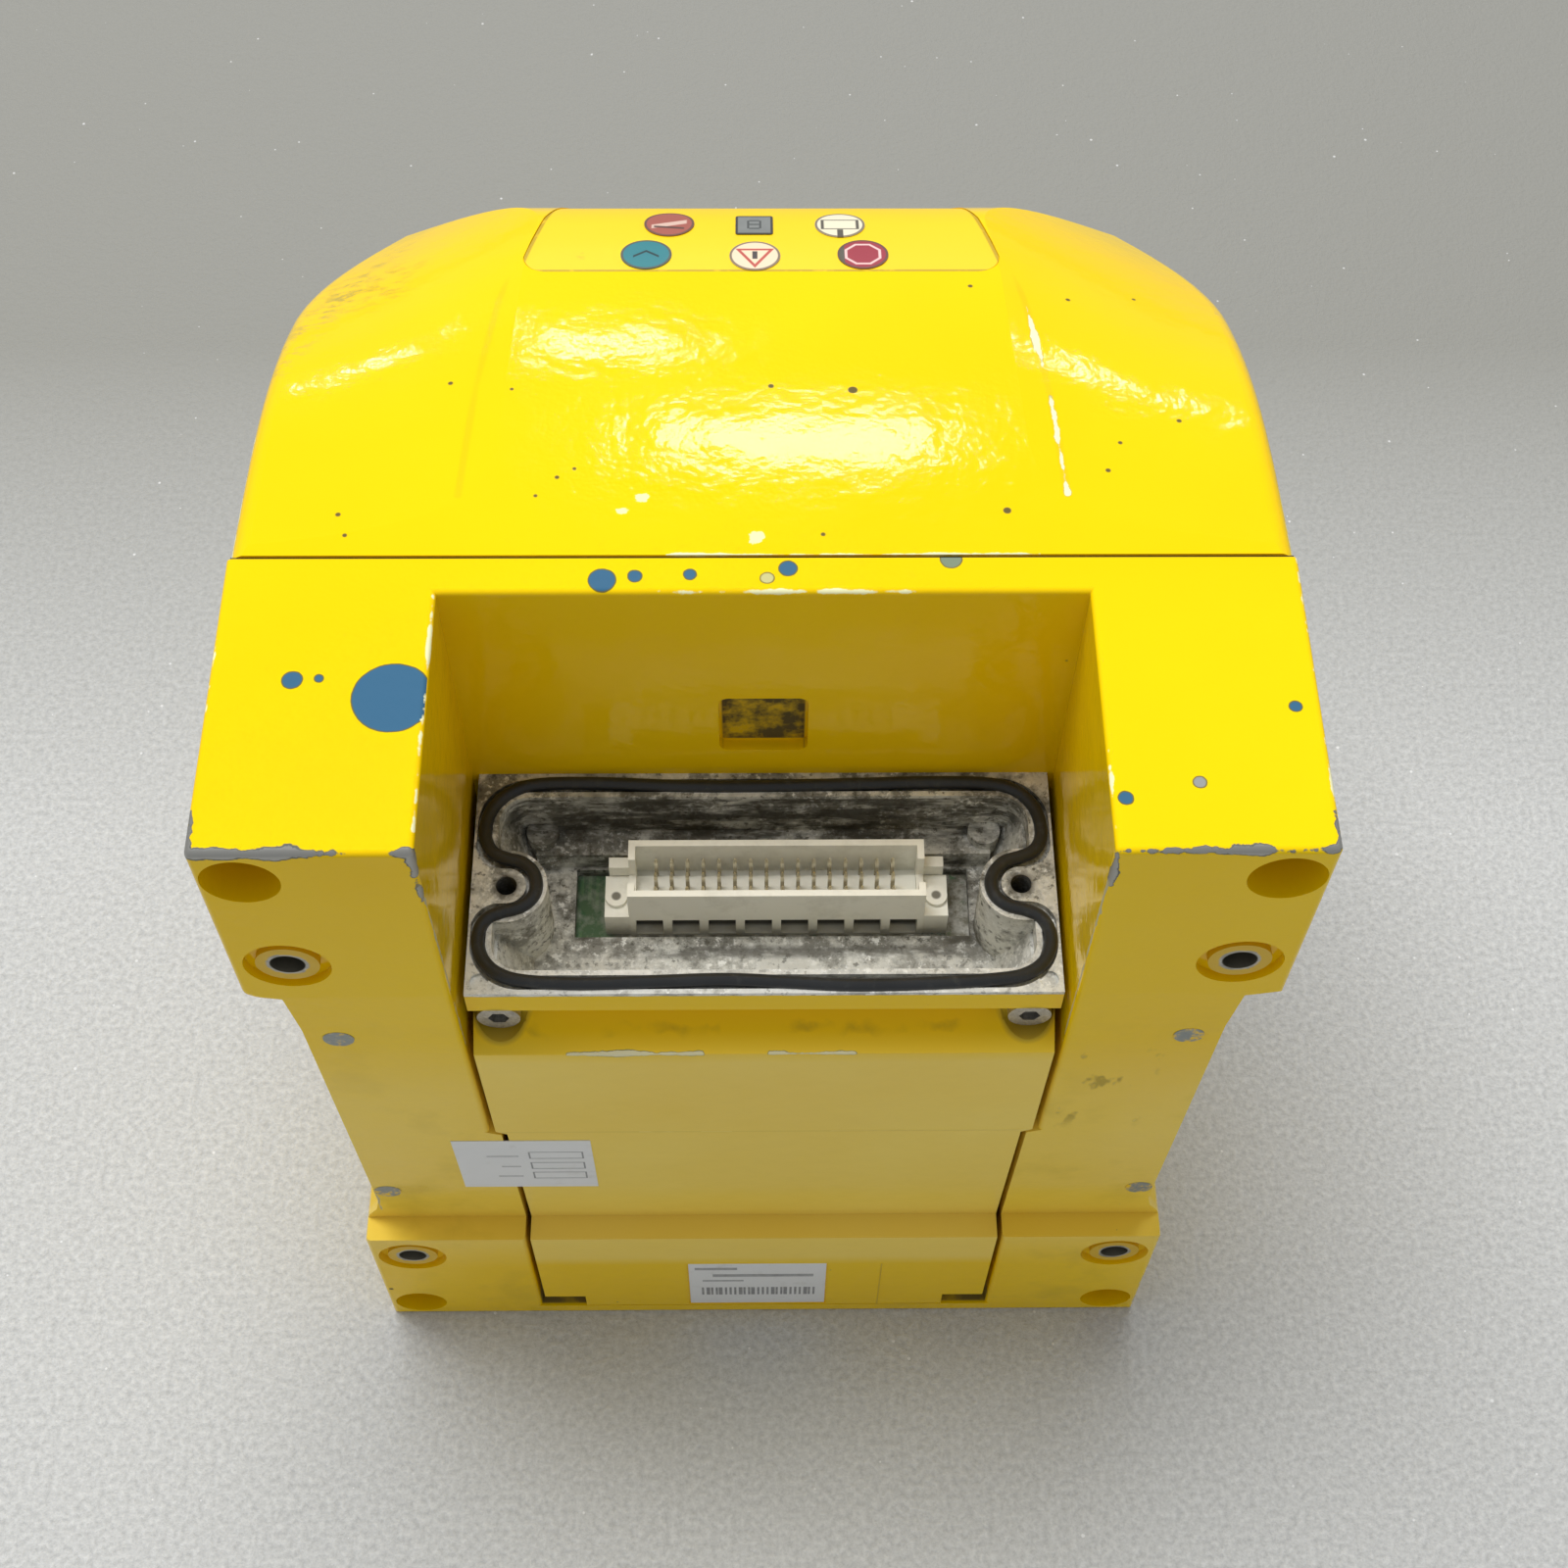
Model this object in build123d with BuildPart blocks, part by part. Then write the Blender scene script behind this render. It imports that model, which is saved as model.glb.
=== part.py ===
"""Safety laser scanner: a cast housing with a rear plug module, an overhanging head,
a dark window round the scan opening and a motor-driven mirror inside.

Frame in millimetres: X to the right seen from behind, Y forward through the window,
Z up from the mounting foot. The word depth in a name means the distance forward of
the rear mounting plane.
"""

from build123d import *
from math import cos, radians, sin, sqrt, tan
import os

os.makedirs("parts", exist_ok=True)

# Overall size
width = 155.0
height = 185.0
length = 160.0
half = width / 2

# Shares by which levels, widths, depths and the round scan unit follow the overall size
rise = height / 185.0
spread = width / 155.0
run = length / 160.0
core = min(rise, spread, run)

# Seam between the rear housing and the head
seam_depth = 49.2 * run
seam_cord = 0.6
head_back = seam_depth + seam_cord
head_low = 97.0 * rise
shelf_gap = 0.3

# Rear housing
shoulder_low = 142.5 * rise
body_half = half - 6.5
body_top_half = half - 5.7
flange_half = half - 3.1
flange_top = 40.9 * rise
face_setback = 4.65
body_front = 62.0 * run
head_flange_back = seam_depth - 5.7

# Channel that holds the plug module
channel_half = 46.9 * spread
channel_front = seam_depth - 6.1
jog_z = 85.0 * rise
lower_half = channel_half - 1.95
foot_half = channel_half - 2.6
sill_top = 3.7
groove = 1.0
sill_gap = 0.3

# Plug module
deck_z = 136.0 * rise
deck_back = 3.6
lip_drop = 5.6
panel_top = deck_z - 16.2
basin_floor = deck_z - 14.5
shelf_z = deck_z - 10.5
shelf_back = channel_front - 9.1
floor_thick = 2.0
board_thick = 1.6
link_high = basin_floor - floor_thick - board_thick
link_low = link_high - 9.1
boss_x = channel_half - 6.6
boss_depth = 22.5 * run
boss_radius = 3.1
plug_thread_radius = 1.65
cord_width = 2.4
cord_groove = 1.2
cord_proud = 1.3
deck_screw_x = channel_half - 5.4
deck_screw_z = deck_z - 10.3
notch_screw_x = foot_half - 5.3
notch_screw_z = 6.4

# Plug socket
pin_pitch = 2.54
pin_rows = (-1, 0, 1)
pin_columns = 16
pin_centre = 1.7
pin_depth = 27.9 * run
pin_side = 0.6
pin_top = deck_z - 5.7
shroud_top = deck_z - 3.5
shroud_wall = 1.1
shroud_centre = 2.0
shroud_half = 23.65
shroud_back = pin_depth - 5.5
shroud_front = pin_depth + 4.8
ear = 3.95

# Mounting points in the rear face
upper_insert = (half - 8.3, 152.7 * rise)
lower_insert = (flange_half - 7.75, flange_top - 8.8)
insert_radius = 4.65
insert_bore = 2.5
insert_long = 13.0
insert_lip = 0.3
sink_radius = 6.4
sink_depth = 1.5
shoulder_hole = (half - 6.2, height - 7.5)
shoulder_hole_radius = 5.55
flange_hole = (flange_half - 6.2, 6.5)
flange_hole_radius = 5.0
head_seat = seam_depth - 8.0
low_screw = (channel_half - 6.9, head_low + 9.0)
plugs = ((body_half - 5.1, deck_z - 9.2), (body_half - 2.6, 55.7 * rise))
plug_radius = 2.4

# Head form: crown, nose and chin along the middle
crown_run = 117.0 * run
crown_slope = 13.0
brow_run = 127.0 * run
brow_slope = 19.0
nose_radius = 25.0
corner_radius = 50.0 * spread
edge_radius = 3.3
edge_soft = 0.9
wall = 3.2
floor_wall = 3.5
# Each row: depth, half width of the raised panel, drop of the side edge below the top
wing_rows = (
    (64.0, 44.8, 1.4),
    (84.0, 43.9, 5.0),
    (103.0, 42.9, 12.0),
    (117.0, 40.6, 19.6),
    (131.0, 36.4, 28.2),
    (166.0, 26.0, 57.0),
)

# Scan axis, window and rotor
axis_depth = 93.0 * run
scan_z = 63.0
foot_top = 32.0 * rise
foot_radius = 60.0 * core
window_low = 52.0 * core
window_high = 60.0 * core
window_wall = 2.2
seal = 0.8
motor_pit = 30.0
pit_floor = 4.0
shaft_radius = 2.5
bearing_radius = 5.0
run_gap = 0.03
mirror_radius = 25.0
glass_thick = 1.8

# Optics in the head
opening_radius = 54.0 * core
carrier_radius = 57.0 * core
lens_radius = 30.0 * core
laser_radius = 5.0 * core
tube_top = head_low + 49.0 * rise

# Printed films
film = 0.3
film_sink = 0.45


def at(depth):
    return depth - length / 2


def block(x0, x1, d0, d1, z0, z1, mode=Mode.ADD):
    with Locations(((x0 + x1) / 2, at((d0 + d1) / 2), (z0 + z1) / 2)):
        Box(x1 - x0, d1 - d0, z1 - z0, mode=mode)


def rod_y(x, z, d0, d1, radius, mode=Mode.ADD):
    with Locations(Location((x, at((d0 + d1) / 2), z), (90, 0, 0))):
        Cylinder(radius, d1 - d0, mode=mode)


def rod_z(x, depth, z0, z1, radius, mode=Mode.ADD):
    with Locations((x, at(depth), (z0 + z1) / 2)):
        Cylinder(radius, z1 - z0, mode=mode)


def turned(low, high, radius, mode=Mode.ADD, place=(0, 0)):
    """A round part of the scan unit, at a place measured from the scan axis."""
    x, depth = place[0] * core, axis_depth + place[1] * core
    rod_z(x, depth, low * rise, high * rise, radius * core, mode)


def beside_axis(x0, x1, reach, low, high, mode=Mode.ADD):
    """A block to the right of the scan axis."""
    d0, d1 = axis_depth - reach * core, axis_depth + reach * core
    block(x0 * core, x1 * core, d0, d1, low * rise, high * rise, mode)


def thirds(radius):
    """Three places on a circle round the scan axis."""
    angles = [radians(90 + 120 * turn) for turn in range(3)]
    return [(radius * cos(a), radius * sin(a)) for a in angles]


def from_behind(points, d0, d1, mode=Mode.ADD):
    """Runs a closed outline of X, Z points from depth d0 to depth d1."""
    with BuildSketch(Plane.XZ.offset(-at(d0))) as outline:
        with BuildLine():
            Polyline(*points, close=True)
        make_face()
    extrude(outline.sketch, amount=-(d1 - d0), mode=mode)


def from_side(points, x0, x1, mode=Mode.ADD):
    """Runs a closed outline of depth, Z points from x0 to x1."""
    with BuildSketch(Plane.YZ.offset(x0)) as outline:
        with BuildLine():
            Polyline(*[(at(d), z) for d, z in points], close=True)
        make_face()
    extrude(outline.sketch, amount=x1 - x0, mode=mode)


def both(points):
    """The outline with its mirror image across X."""
    return list(points) + [(-x, z) for x, z in reversed(points)]


def face_depth(z):
    """Depth of the leaning rear face of arms and panel."""
    return face_setback * (shoulder_low - z) / (shoulder_low - flange_top)


def sides():
    return (-1, 1)


# Middle line of the head, inset evenly for its inner wall
def crown_points(inset):
    crown_radius = (crown_run - head_back) / sin(radians(crown_slope))
    middle = (head_back, height - crown_radius)
    turn = sin(radians(brow_slope)) - sin(radians(crown_slope))
    brow_radius = (brow_run - crown_run) / turn
    crown_end = on_arc(middle, crown_radius, crown_slope)
    brow_middle = back_from(crown_end, brow_radius, crown_slope)
    brow_end = on_arc(brow_middle, brow_radius, brow_slope)
    nose_middle = back_from(brow_end, nose_radius, brow_slope)
    lean = chin_lean(nose_middle)
    arcs = (
        (middle, crown_radius - inset, 0.0, crown_slope),
        (brow_middle, brow_radius - inset, crown_slope, brow_slope),
        (nose_middle, nose_radius - inset, brow_slope, 90.0 - lean),
    )
    return arcs, lean


def on_arc(middle, radius, slope):
    return (middle[0] + radius * sin(radians(slope)), middle[1] + radius * cos(radians(slope)))


def back_from(point, radius, slope):
    return (point[0] - radius * sin(radians(slope)), point[1] - radius * cos(radians(slope)))


def chin_lean(nose_middle):
    """Lean of the front face, so that it is tangent to the nose and meets the chin."""
    run = length - nose_middle[0]
    rise = nose_middle[1] - head_low
    lean = 0.0
    for _ in range(40):
        lean = (run * cos(radians(lean)) - nose_radius) / (rise * cos(radians(lean)))
        lean = max(0.0, min(40.0, lean * 57.29578))
    return lean


def crown_prism(inset, low, mode):
    arcs, lean = crown_points(inset)
    start = on_arc(arcs[0][0], arcs[0][1], 0.0)
    nose_end = on_arc(arcs[2][0], arcs[2][1], 90.0 - lean)
    chin = (nose_end[0] + (nose_end[1] - low) * tan(radians(lean)), low)
    with BuildSketch(Plane.YZ.offset(-half - 5)) as outline:
        with BuildLine():
            for middle, radius, first, last in arcs:
                ends = [on_arc(middle, radius, s) for s in (first, (first + last) / 2, last)]
                ThreePointArc(*[(at(d), z) for d, z in ends])
            Polyline(
                (at(nose_end[0]), nose_end[1]),
                (at(chin[0]), chin[1]),
                (at(start[0] - 10), chin[1]),
                (at(start[0] - 10), start[1]),
                (at(start[0]), start[1]),
            )
        make_face()
    extrude(outline.sketch, amount=width + 10, mode=mode)


def crown_height(depth):
    radius = (crown_run - head_back) / sin(radians(crown_slope))
    reach = min(depth - head_back, radius * 0.9)
    return height - radius + sqrt(radius * radius - reach * reach)


def wing_roof(inset, low):
    """Two ruled slopes, from a ridge in the middle to eaves beyond the sides."""
    reach = half + 5
    ridge = [(head_back - 6.0, height + 0.8)]
    eave = [(head_back - 6.0, height + 0.8)]
    for depth, panel, drop in [(d * run, x * spread, z) for d, x, z in wing_rows]:
        top = crown_height(depth)
        slope = (top - height + drop) / (half - panel)
        ridge.append((depth, top + slope * panel))
        eave.append((depth, top + slope * (panel - reach)))
    with BuildPart() as roof:
        for side in sides():
            faces = [roof_face(ridge, 0, inset, low), roof_face(eave, side * reach, inset, low)]
            loft(faces, ruled=True)
    return roof.part


def roof_face(points, x, inset, low):
    first, last = points[0], points[-1]
    with BuildSketch(Plane.YZ.offset(x)) as section:
        with BuildLine():
            Spline(*[(at(d), z - inset) for d, z in points])
            Polyline(
                (at(last[0]), last[1] - inset),
                (at(last[0]), low - 5),
                (at(first[0]), low - 5),
                (at(first[0]), first[1] - inset),
            )
        make_face()
    return section.sketch.faces()[0]


def head_plan(inset, back, low):
    radius = corner_radius - inset
    edge = half - inset
    front = length - inset
    bend = radius * (1 - sqrt(0.5))
    with BuildSketch(Plane.XY.offset(low)) as plan:
        with BuildLine():
            start, end = at(front - radius), at(front)
            Polyline((-edge, start), (-edge, at(back)), (edge, at(back)), (edge, start))
            ThreePointArc((edge, start), (edge - bend, at(front - bend)), (edge - radius, end))
            Line((edge - radius, end), (-edge + radius, end))
            ThreePointArc((-edge + radius, end), (-edge + bend, at(front - bend)), (-edge, start))
        make_face()
    extrude(plan.sketch, amount=height + 5 - low)


def eave_edges(edges):
    """The outer edges where the wings meet the sides and the round front corners."""
    found = []
    for edge in edges:
        middle = edge.position_at(0.5)
        size = edge.bounding_box().size
        if abs(middle.X) > half - 25 and middle.Z > head_low + 10 and 5 < size.Y and size.Z < 60:
            found.append(edge)
    return found


def head_mass(inset, back, low, roof):
    head_plan(inset, back, low)
    crown_prism(inset, low, Mode.INTERSECT)
    add(roof, mode=Mode.INTERSECT)


def arch_face(radius, z, back):
    """Window plan: straight sides and a half circle round the scan axis."""
    with BuildSketch(Plane.XY.offset(z)) as plan:
        with BuildLine():
            middle = at(axis_depth)
            Polyline((-radius, middle), (-radius, at(back)), (radius, at(back)), (radius, middle))
            ThreePointArc((radius, middle), (0, at(axis_depth + radius)), (-radius, middle))
        make_face()
    return plan.sketch.faces()[0]


def arch_band(radius, z, tall, back):
    with BuildSketch(Plane.XY.offset(z)) as band:
        for size, mode in ((radius, Mode.ADD), (radius - window_wall, Mode.SUBTRACT)):
            with Locations((0, at(axis_depth))):
                Circle(size, mode=mode)
            with Locations((0, at((axis_depth + back) / 2))):
                Rectangle(2 * size, axis_depth - back, mode=mode)
        with Locations((0, at(back / 2))):
            Rectangle(width, back, mode=Mode.SUBTRACT)
    extrude(band.sketch, amount=tall)


# Gasket path: a rounded rectangle that steps inward round the two threaded bosses
cord_half = channel_half - 1.5
cord_back = 4.4
cord_front = channel_front - 1.1
cord_corner = 8.0
cord_turn = 4.2


def cord_region(inset, z):
    tall = cord_front - cord_back - 2 * inset
    wide = 2 * (cord_half - inset)
    notch = boss_radius + inset
    with BuildSketch(Plane.XY.offset(z)) as region:
        with Locations((0, at((cord_front + cord_back) / 2))):
            RectangleRounded(wide, tall, cord_corner - inset)
        for side in sides():
            with Locations((side * boss_x, at(boss_depth))):
                Circle(notch, mode=Mode.SUBTRACT)
            with Locations((side * (boss_x + 10), at(boss_depth))):
                Rectangle(20, 2 * notch, mode=Mode.SUBTRACT)
        mouth = [v for v in region.vertices() if abs(v.Y - at(boss_depth)) < 9]
        fillet([v for v in mouth if abs(v.X) > boss_x + 3], cord_turn - inset)
    return region.sketch


def soft_edges(edges):
    """Edges of the rear casting that are rounded: back outline, top and recess mouth."""
    found = []
    for edge in edges:
        box = edge.bounding_box()
        middle = edge.position_at(0.5)
        straight = edge.geom_type == GeomType.LINE
        in_back = straight and abs(box.min.Y - at(0)) + abs(box.max.Y - at(0)) < 0.1
        on_sill = abs(box.max.Z - sill_top) < 0.05
        on_flange = abs(box.min.Z - flange_top) + abs(box.max.Z - flange_top) < 0.1
        in_top = box.min.Z > height - 0.05 and box.min.Y < at(seam_depth - 0.1)
        upright = straight and box.size.Z > 4 and box.size.X < 0.2 and middle.Y < at(8)
        beside_recess = upright and abs(abs(middle.X) - channel_half) < 0.2
        if in_top or beside_recess or (in_back and not on_sill and not on_flange):
            found.append(edge)
    return found


# Rear housing
with BuildPart() as rear_housing:
    # Back outline: shoulders, arms and base flange in one run forward
    outline = [
        (half, height),
        (half, shoulder_low),
        (body_top_half, shoulder_low - 1.5),
        (body_half, shoulder_low - 12.5),
        (body_half, flange_top + 9.0),
        (body_half + 0.9, flange_top + 4.6),
        (flange_half - 0.6, flange_top + 1.2),
        (flange_half, flange_top - 1.0),
        (flange_half, 0),
    ]
    from_behind(both(outline), 0, seam_depth)
    block(-flange_half, flange_half, seam_depth, body_front, 0, flange_top)
    block(-body_half, body_half, seam_depth, body_front, flange_top, head_low - shelf_gap)
    block(-half, half, head_flange_back, seam_depth, head_low - shelf_gap, shoulder_low)
    # Window foot in front
    extrude(arch_face(foot_radius, 0, body_front - 2), amount=foot_top)
    # Rear faces of the arms lean forward toward the flange
    wedge = [(-1, shoulder_low), (0, shoulder_low), (face_setback, flange_top), (-1, flange_top)]
    from_side(wedge, -half - 1, half + 1, Mode.SUBTRACT)
    # Channel for the plug module, open above it as the plug recess
    channel = [
        (channel_half, height + 1),
        (channel_half, jog_z),
        (lower_half, jog_z - 1.0),
        (foot_half, sill_top),
    ]
    from_behind(both(channel), -1, channel_front, Mode.SUBTRACT)
    fillet(soft_edges(rear_housing.edges()), edge_soft)
    # Pocket in the recess wall
    with BuildSketch(Plane.XZ.offset(-at(channel_front))):
        with Locations((0, deck_z + 14.3)):
            RectangleRounded(13.9, 14.6, 1.6)
    extrude(amount=-2.0, mode=Mode.SUBTRACT)
    # Holes in the rear face
    for side in sides():
        hole_x, hole_z = shoulder_hole
        rod_y(side * hole_x, hole_z, -1, head_seat - 4.4, shoulder_hole_radius, Mode.SUBTRACT)
        rod_y(side * hole_x, hole_z, 1, head_seat, 3.9, Mode.SUBTRACT)
        rod_y(side * hole_x, hole_z, 1, seam_depth + 1, 2.25, Mode.SUBTRACT)
        hole_x, hole_z = low_screw
        rod_y(side * hole_x, hole_z, channel_front - 1, channel_front + 4.3, 3.9, Mode.SUBTRACT)
        rod_y(side * hole_x, hole_z, channel_front, seam_depth + 1, 2.25, Mode.SUBTRACT)
        hole_x, hole_z = flange_hole
        rod_y(side * hole_x, hole_z, -1, 12, flange_hole_radius, Mode.SUBTRACT)
        for insert_x, insert_z in (upper_insert, lower_insert):
            rod_y(side * insert_x, insert_z, -1, sink_depth, sink_radius, Mode.SUBTRACT)
            rod_y(side * insert_x, insert_z, 0, insert_lip + insert_long, insert_radius, Mode.SUBTRACT)
        for plug_x, plug_z in plugs:
            start = face_depth(plug_z)
            rod_y(side * plug_x, plug_z, start - 1, start + 6, plug_radius, Mode.SUBTRACT)
    # Threads for the module screws in the channel wall and the board stand-offs
    for side in sides():
        rod_y(side * deck_screw_x, deck_screw_z, channel_front - 1, channel_front + 5.5, 1.6, Mode.SUBTRACT)
        rod_y(side * notch_screw_x, notch_screw_z, channel_front - 1, channel_front + 8, 1.25, Mode.SUBTRACT)
    # Window for the board link
    block(-13, 13, channel_front - 1, seam_depth + 1, link_low - 0.6, link_high + 0.3, Mode.SUBTRACT)
    # Motor pit with a side pocket for the disc sensor
    turned(pit_floor, 33, motor_pit, Mode.SUBTRACT)
    beside_axis(20, 37.5, 5, 26, 33, Mode.SUBTRACT)
    for place in thirds(16):
        turned(1.5, pit_floor + 1, 1.25, Mode.SUBTRACT, place)
rear_housing.part.label = "rear_housing"

# Head cover: outer form, hollowed, with floor opening and screw bosses
outer_roof = wing_roof(0, head_low)
inner_roof = wing_roof(wall, head_low)
with BuildPart() as head_hollow:
    head_mass(wall, head_back - 1, head_low + floor_wall, inner_roof)

with BuildPart() as label_skin:
    crown_prism(0, head_low, Mode.ADD)
    crown_prism(film_sink, head_low - 1, Mode.SUBTRACT)

label_outline = (
    (39.6 * spread, 112.0 * run),
    (36.2 * spread, 129.0 * run),
    (33.0 * spread, 139.0 * run),
)


def label_plan(shrink, low, mode):
    with BuildSketch(Plane.XY.offset(low)) as plan:
        with BuildLine():
            right = [(x - shrink, at(d)) for x, d in label_outline]
            right[0] = (right[0][0], right[0][1] + shrink)
            right[-1] = (right[-1][0], right[-1][1] - shrink)
            left = [(-x, y) for x, y in reversed(right)]
            Polyline(*right, *left, close=True)
        make_face()
        corners = [v for v in plan.vertices() if v.Y < at(label_outline[0][1] + 1)]
        corners += [v for v in plan.vertices() if v.Y > at(label_outline[-1][1] - 1)]
        fillet(corners, 4.0)
    extrude(plan.sketch, amount=height + 5 - low, mode=mode)


with BuildPart() as label_bed:
    add(label_skin.part)
    label_plan(0, head_low + 3, Mode.INTERSECT)

board_tilt = 16.0
display_posts = ((-26 * spread, 0), (26 * spread, 0))
display_origin = Vector(0, at(121.0 * run), height - 20.0 * run)
display_lean = Vector(0, sin(radians(board_tilt)), cos(radians(board_tilt)))
display_plane = Plane(display_origin, x_dir=(1, 0, 0), z_dir=display_lean)

with BuildPart() as head_cover:
    head_mass(0, head_back, head_low, outer_roof)
    fillet(eave_edges(head_cover.edges()), edge_radius)
    add(head_hollow.part, mode=Mode.SUBTRACT)
    # Screw bosses behind, joined to roof, sides and floor
    for side in sides():
        hole_x, hole_z = shoulder_hole
        rod_y(side * (hole_x - 0.6), hole_z, head_back, head_back + 12, 5.2)
        middle = side * low_screw[0]
        block(middle - 6, middle + 6, head_back, head_back + 9, head_low + 1, low_screw[1] + 6)
    # Posts for the display board
    with BuildSketch(display_plane):
        with Locations(*display_posts):
            Circle(3.0)
    extrude(amount=9.6)
    # Floor opening over the scan chamber
    with BuildSketch(Plane.XY.offset(head_low - 1)):
        with Locations((0, at(axis_depth))):
            Circle(opening_radius)
        with Locations((0, at(body_front / 2))):
            Rectangle(width, body_front + 2, mode=Mode.SUBTRACT)
    extrude(amount=floor_wall + 2, mode=Mode.SUBTRACT)
    add(label_bed.part, mode=Mode.SUBTRACT)
    # Blind screw holes
    for side in sides():
        rod_y(side * shoulder_hole[0], shoulder_hole[1], head_back - 1, head_back + 9, 2.0, Mode.SUBTRACT)
        rod_y(side * low_screw[0], low_screw[1], head_back - 1, head_back + 7, 2.0, Mode.SUBTRACT)
    with BuildSketch(display_plane.offset(-1)):
        with Locations(*display_posts):
            Circle(1.25)
    extrude(amount=7, mode=Mode.SUBTRACT)
head_cover.part.label = "head_cover"

# Seam cord, a little back from the outer surface
cord_step = 0.5
with BuildPart() as head_seal:
    low_edge = head_low + cord_step
    frame_outer = [(half - cord_step, low_edge), (half - cord_step, height - cord_step)]
    frame_inner = [(half - 2.9, low_edge + 2.4), (half - 2.9, height - 2.9)]
    from_behind(both(frame_outer), seam_depth, head_back)
    from_behind(both(frame_inner), seam_depth, head_back, Mode.SUBTRACT)
head_seal.part.label = "head_seal"

# Indicator film, lenses and digit window on the nose
with BuildPart() as indicator_label:
    crown_prism(film_sink - film, head_low, Mode.ADD)
    crown_prism(film_sink, head_low - 1, Mode.SUBTRACT)
    label_plan(0.15, head_low + 3, Mode.INTERSECT)
indicator_label.part.label = "indicator_label"

lens_rows = ((-15.3, 126.6), (13.0, 126.2), (-18.8, 116.9), (-1.1, 116.5), (16.5, 116.9))
lens_places = [(x * spread, depth * run) for x, depth in lens_rows]
lens_size = 4.15
digit_place = (-1.2, 126.2 * run)


def icon_skin():
    crown_prism(film_sink - film - 0.2, head_low, Mode.ADD)
    crown_prism(film_sink - film, head_low - 1, Mode.SUBTRACT)


with BuildPart() as indicator_lenses:
    icon_skin()
    with BuildSketch(Plane.XY.offset(head_low + 3)):
        with Locations(*[(x, at(d)) for x, d in lens_places]):
            Circle(lens_size)
    extrude(amount=height - head_low, mode=Mode.INTERSECT)
indicator_lenses.part.label = "indicator_lenses"

with BuildPart() as digit_window:
    icon_skin()
    with BuildSketch(Plane.XY.offset(head_low + 3)):
        with Locations((digit_place[0], at(digit_place[1]))):
            RectangleRounded(6.2, 6.4, 0.5)
    extrude(amount=height - head_low, mode=Mode.INTERSECT)
digit_window.part.label = "digit_window"

# Plug module: one casting with deck, basin, lip, ledge and panel
module_outline = [
    (channel_half - groove - 0.1, deck_z),
    (channel_half - groove - 0.1, jog_z + 0.6),
    (lower_half - groove, jog_z - 0.6),
    (foot_half - groove, sill_top + sill_gap),
]
ledge_foot = face_depth(panel_top)
lip_z = deck_z - lip_drop
module_back = [
    (deck_back, deck_z + 1),
    (deck_back, lip_z),
    (deck_back + 2.6, lip_z - 1.7),
    (deck_back + 4.0, lip_z - 4.0),
    (deck_back + 3.8, lip_z - 6.2),
    (ledge_foot, panel_top),
    (face_setback, flange_top),
    (-1, flange_top),
    (-1, deck_z + 1),
]
socket_low = basin_floor - floor_thick
board_half = channel_half - 8.9
board_space = socket_low - 15.5
shroud_left = shroud_centre - shroud_half
shroud_right = shroud_centre + shroud_half
groove_floor = deck_z - cord_groove
cord_outer = cord_region(0, groove_floor)
cord_inner = cord_region(cord_width, groove_floor)
cord_band = cord_outer - cord_inner
rim = cord_width + 0.9
basin_half = channel_half - 9.9
basin_top = cord_region(rim, deck_z)

with BuildPart() as io_module:
    from_behind(both(module_outline), 0, channel_front)
    from_side(module_back, -half, half, Mode.SUBTRACT)
    # Gasket groove, then the basin inside it with its raised shelf in front
    extrude(cord_band, amount=cord_groove + 1, mode=Mode.SUBTRACT)
    extrude(basin_top, amount=-(deck_z - basin_floor), mode=Mode.SUBTRACT)
    block(-basin_half, basin_half, shelf_back, channel_front - 2, basin_floor, shelf_z)
    for side in sides():
        rod_z(side * (basin_half - 1.0), cord_front - 4.6, basin_floor, shelf_z + 1.8, 2.6)
        # Boss for the plug's screw
        rod_z(side * boss_x, boss_depth, basin_floor, deck_z, boss_radius - 0.3)
        # Round marks at the deck's rear corners
        rod_z(side * (channel_half - 3.3), deck_back + 2.2, deck_z - 0.6, deck_z + 1, 1.45, Mode.SUBTRACT)
    # Sloping side walls, thick enough for the screws that pass behind them
    for side in sides():
        foot, crest, edge = channel_half - 10.1, channel_half - 5.3, channel_half - 3.3
        ramp = [(foot, basin_floor), (crest, lip_z + 1.4), (edge, lip_z + 1.4), (edge, basin_floor)]
        from_behind([(side * x, z) for x, z in ramp], cord_back + 1, channel_front - 1)
        # Thread for the plug's screw, which ends above the screw behind the ramp
        rod_z(side * boss_x, boss_depth, deck_z - 7.5, deck_z + 1, plug_thread_radius, Mode.SUBTRACT)
    # Opening in the floor for the plug socket, and the space for its board
    left, right = shroud_left - ear - 5.0, shroud_right + ear + 3.8
    block(left, right, shroud_back - 1.4, shelf_back - 0.5, socket_low - 1, basin_floor + 1, Mode.SUBTRACT)
    block(-board_half, board_half, 12, channel_front + 1, board_space, socket_low, Mode.SUBTRACT)
    # Upper screws: counterbores under the lip
    for side in sides():
        rod_y(side * deck_screw_x, deck_screw_z, -1, deck_back + 4.8, 4.7, Mode.SUBTRACT)
        rod_y(side * deck_screw_x, deck_screw_z, 0, channel_front + 1, 2.15, Mode.SUBTRACT)
        # Lower screws: notches in the flange corners
        edge = side * (foot_half + 1)
        inner = side * (foot_half - 8.9)
        block(min(edge, inner), max(edge, inner), -1, 5.5, sill_top - 1, 9.2, Mode.SUBTRACT)
        rod_y(side * notch_screw_x, notch_screw_z, 0, channel_front + 1, 1.55, Mode.SUBTRACT)
    # Shallow bed for the type label
    block(-14.9, 12.3, -1, film, 4.3, 27.3, Mode.SUBTRACT)
io_module.part.label = "io_module"

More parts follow.
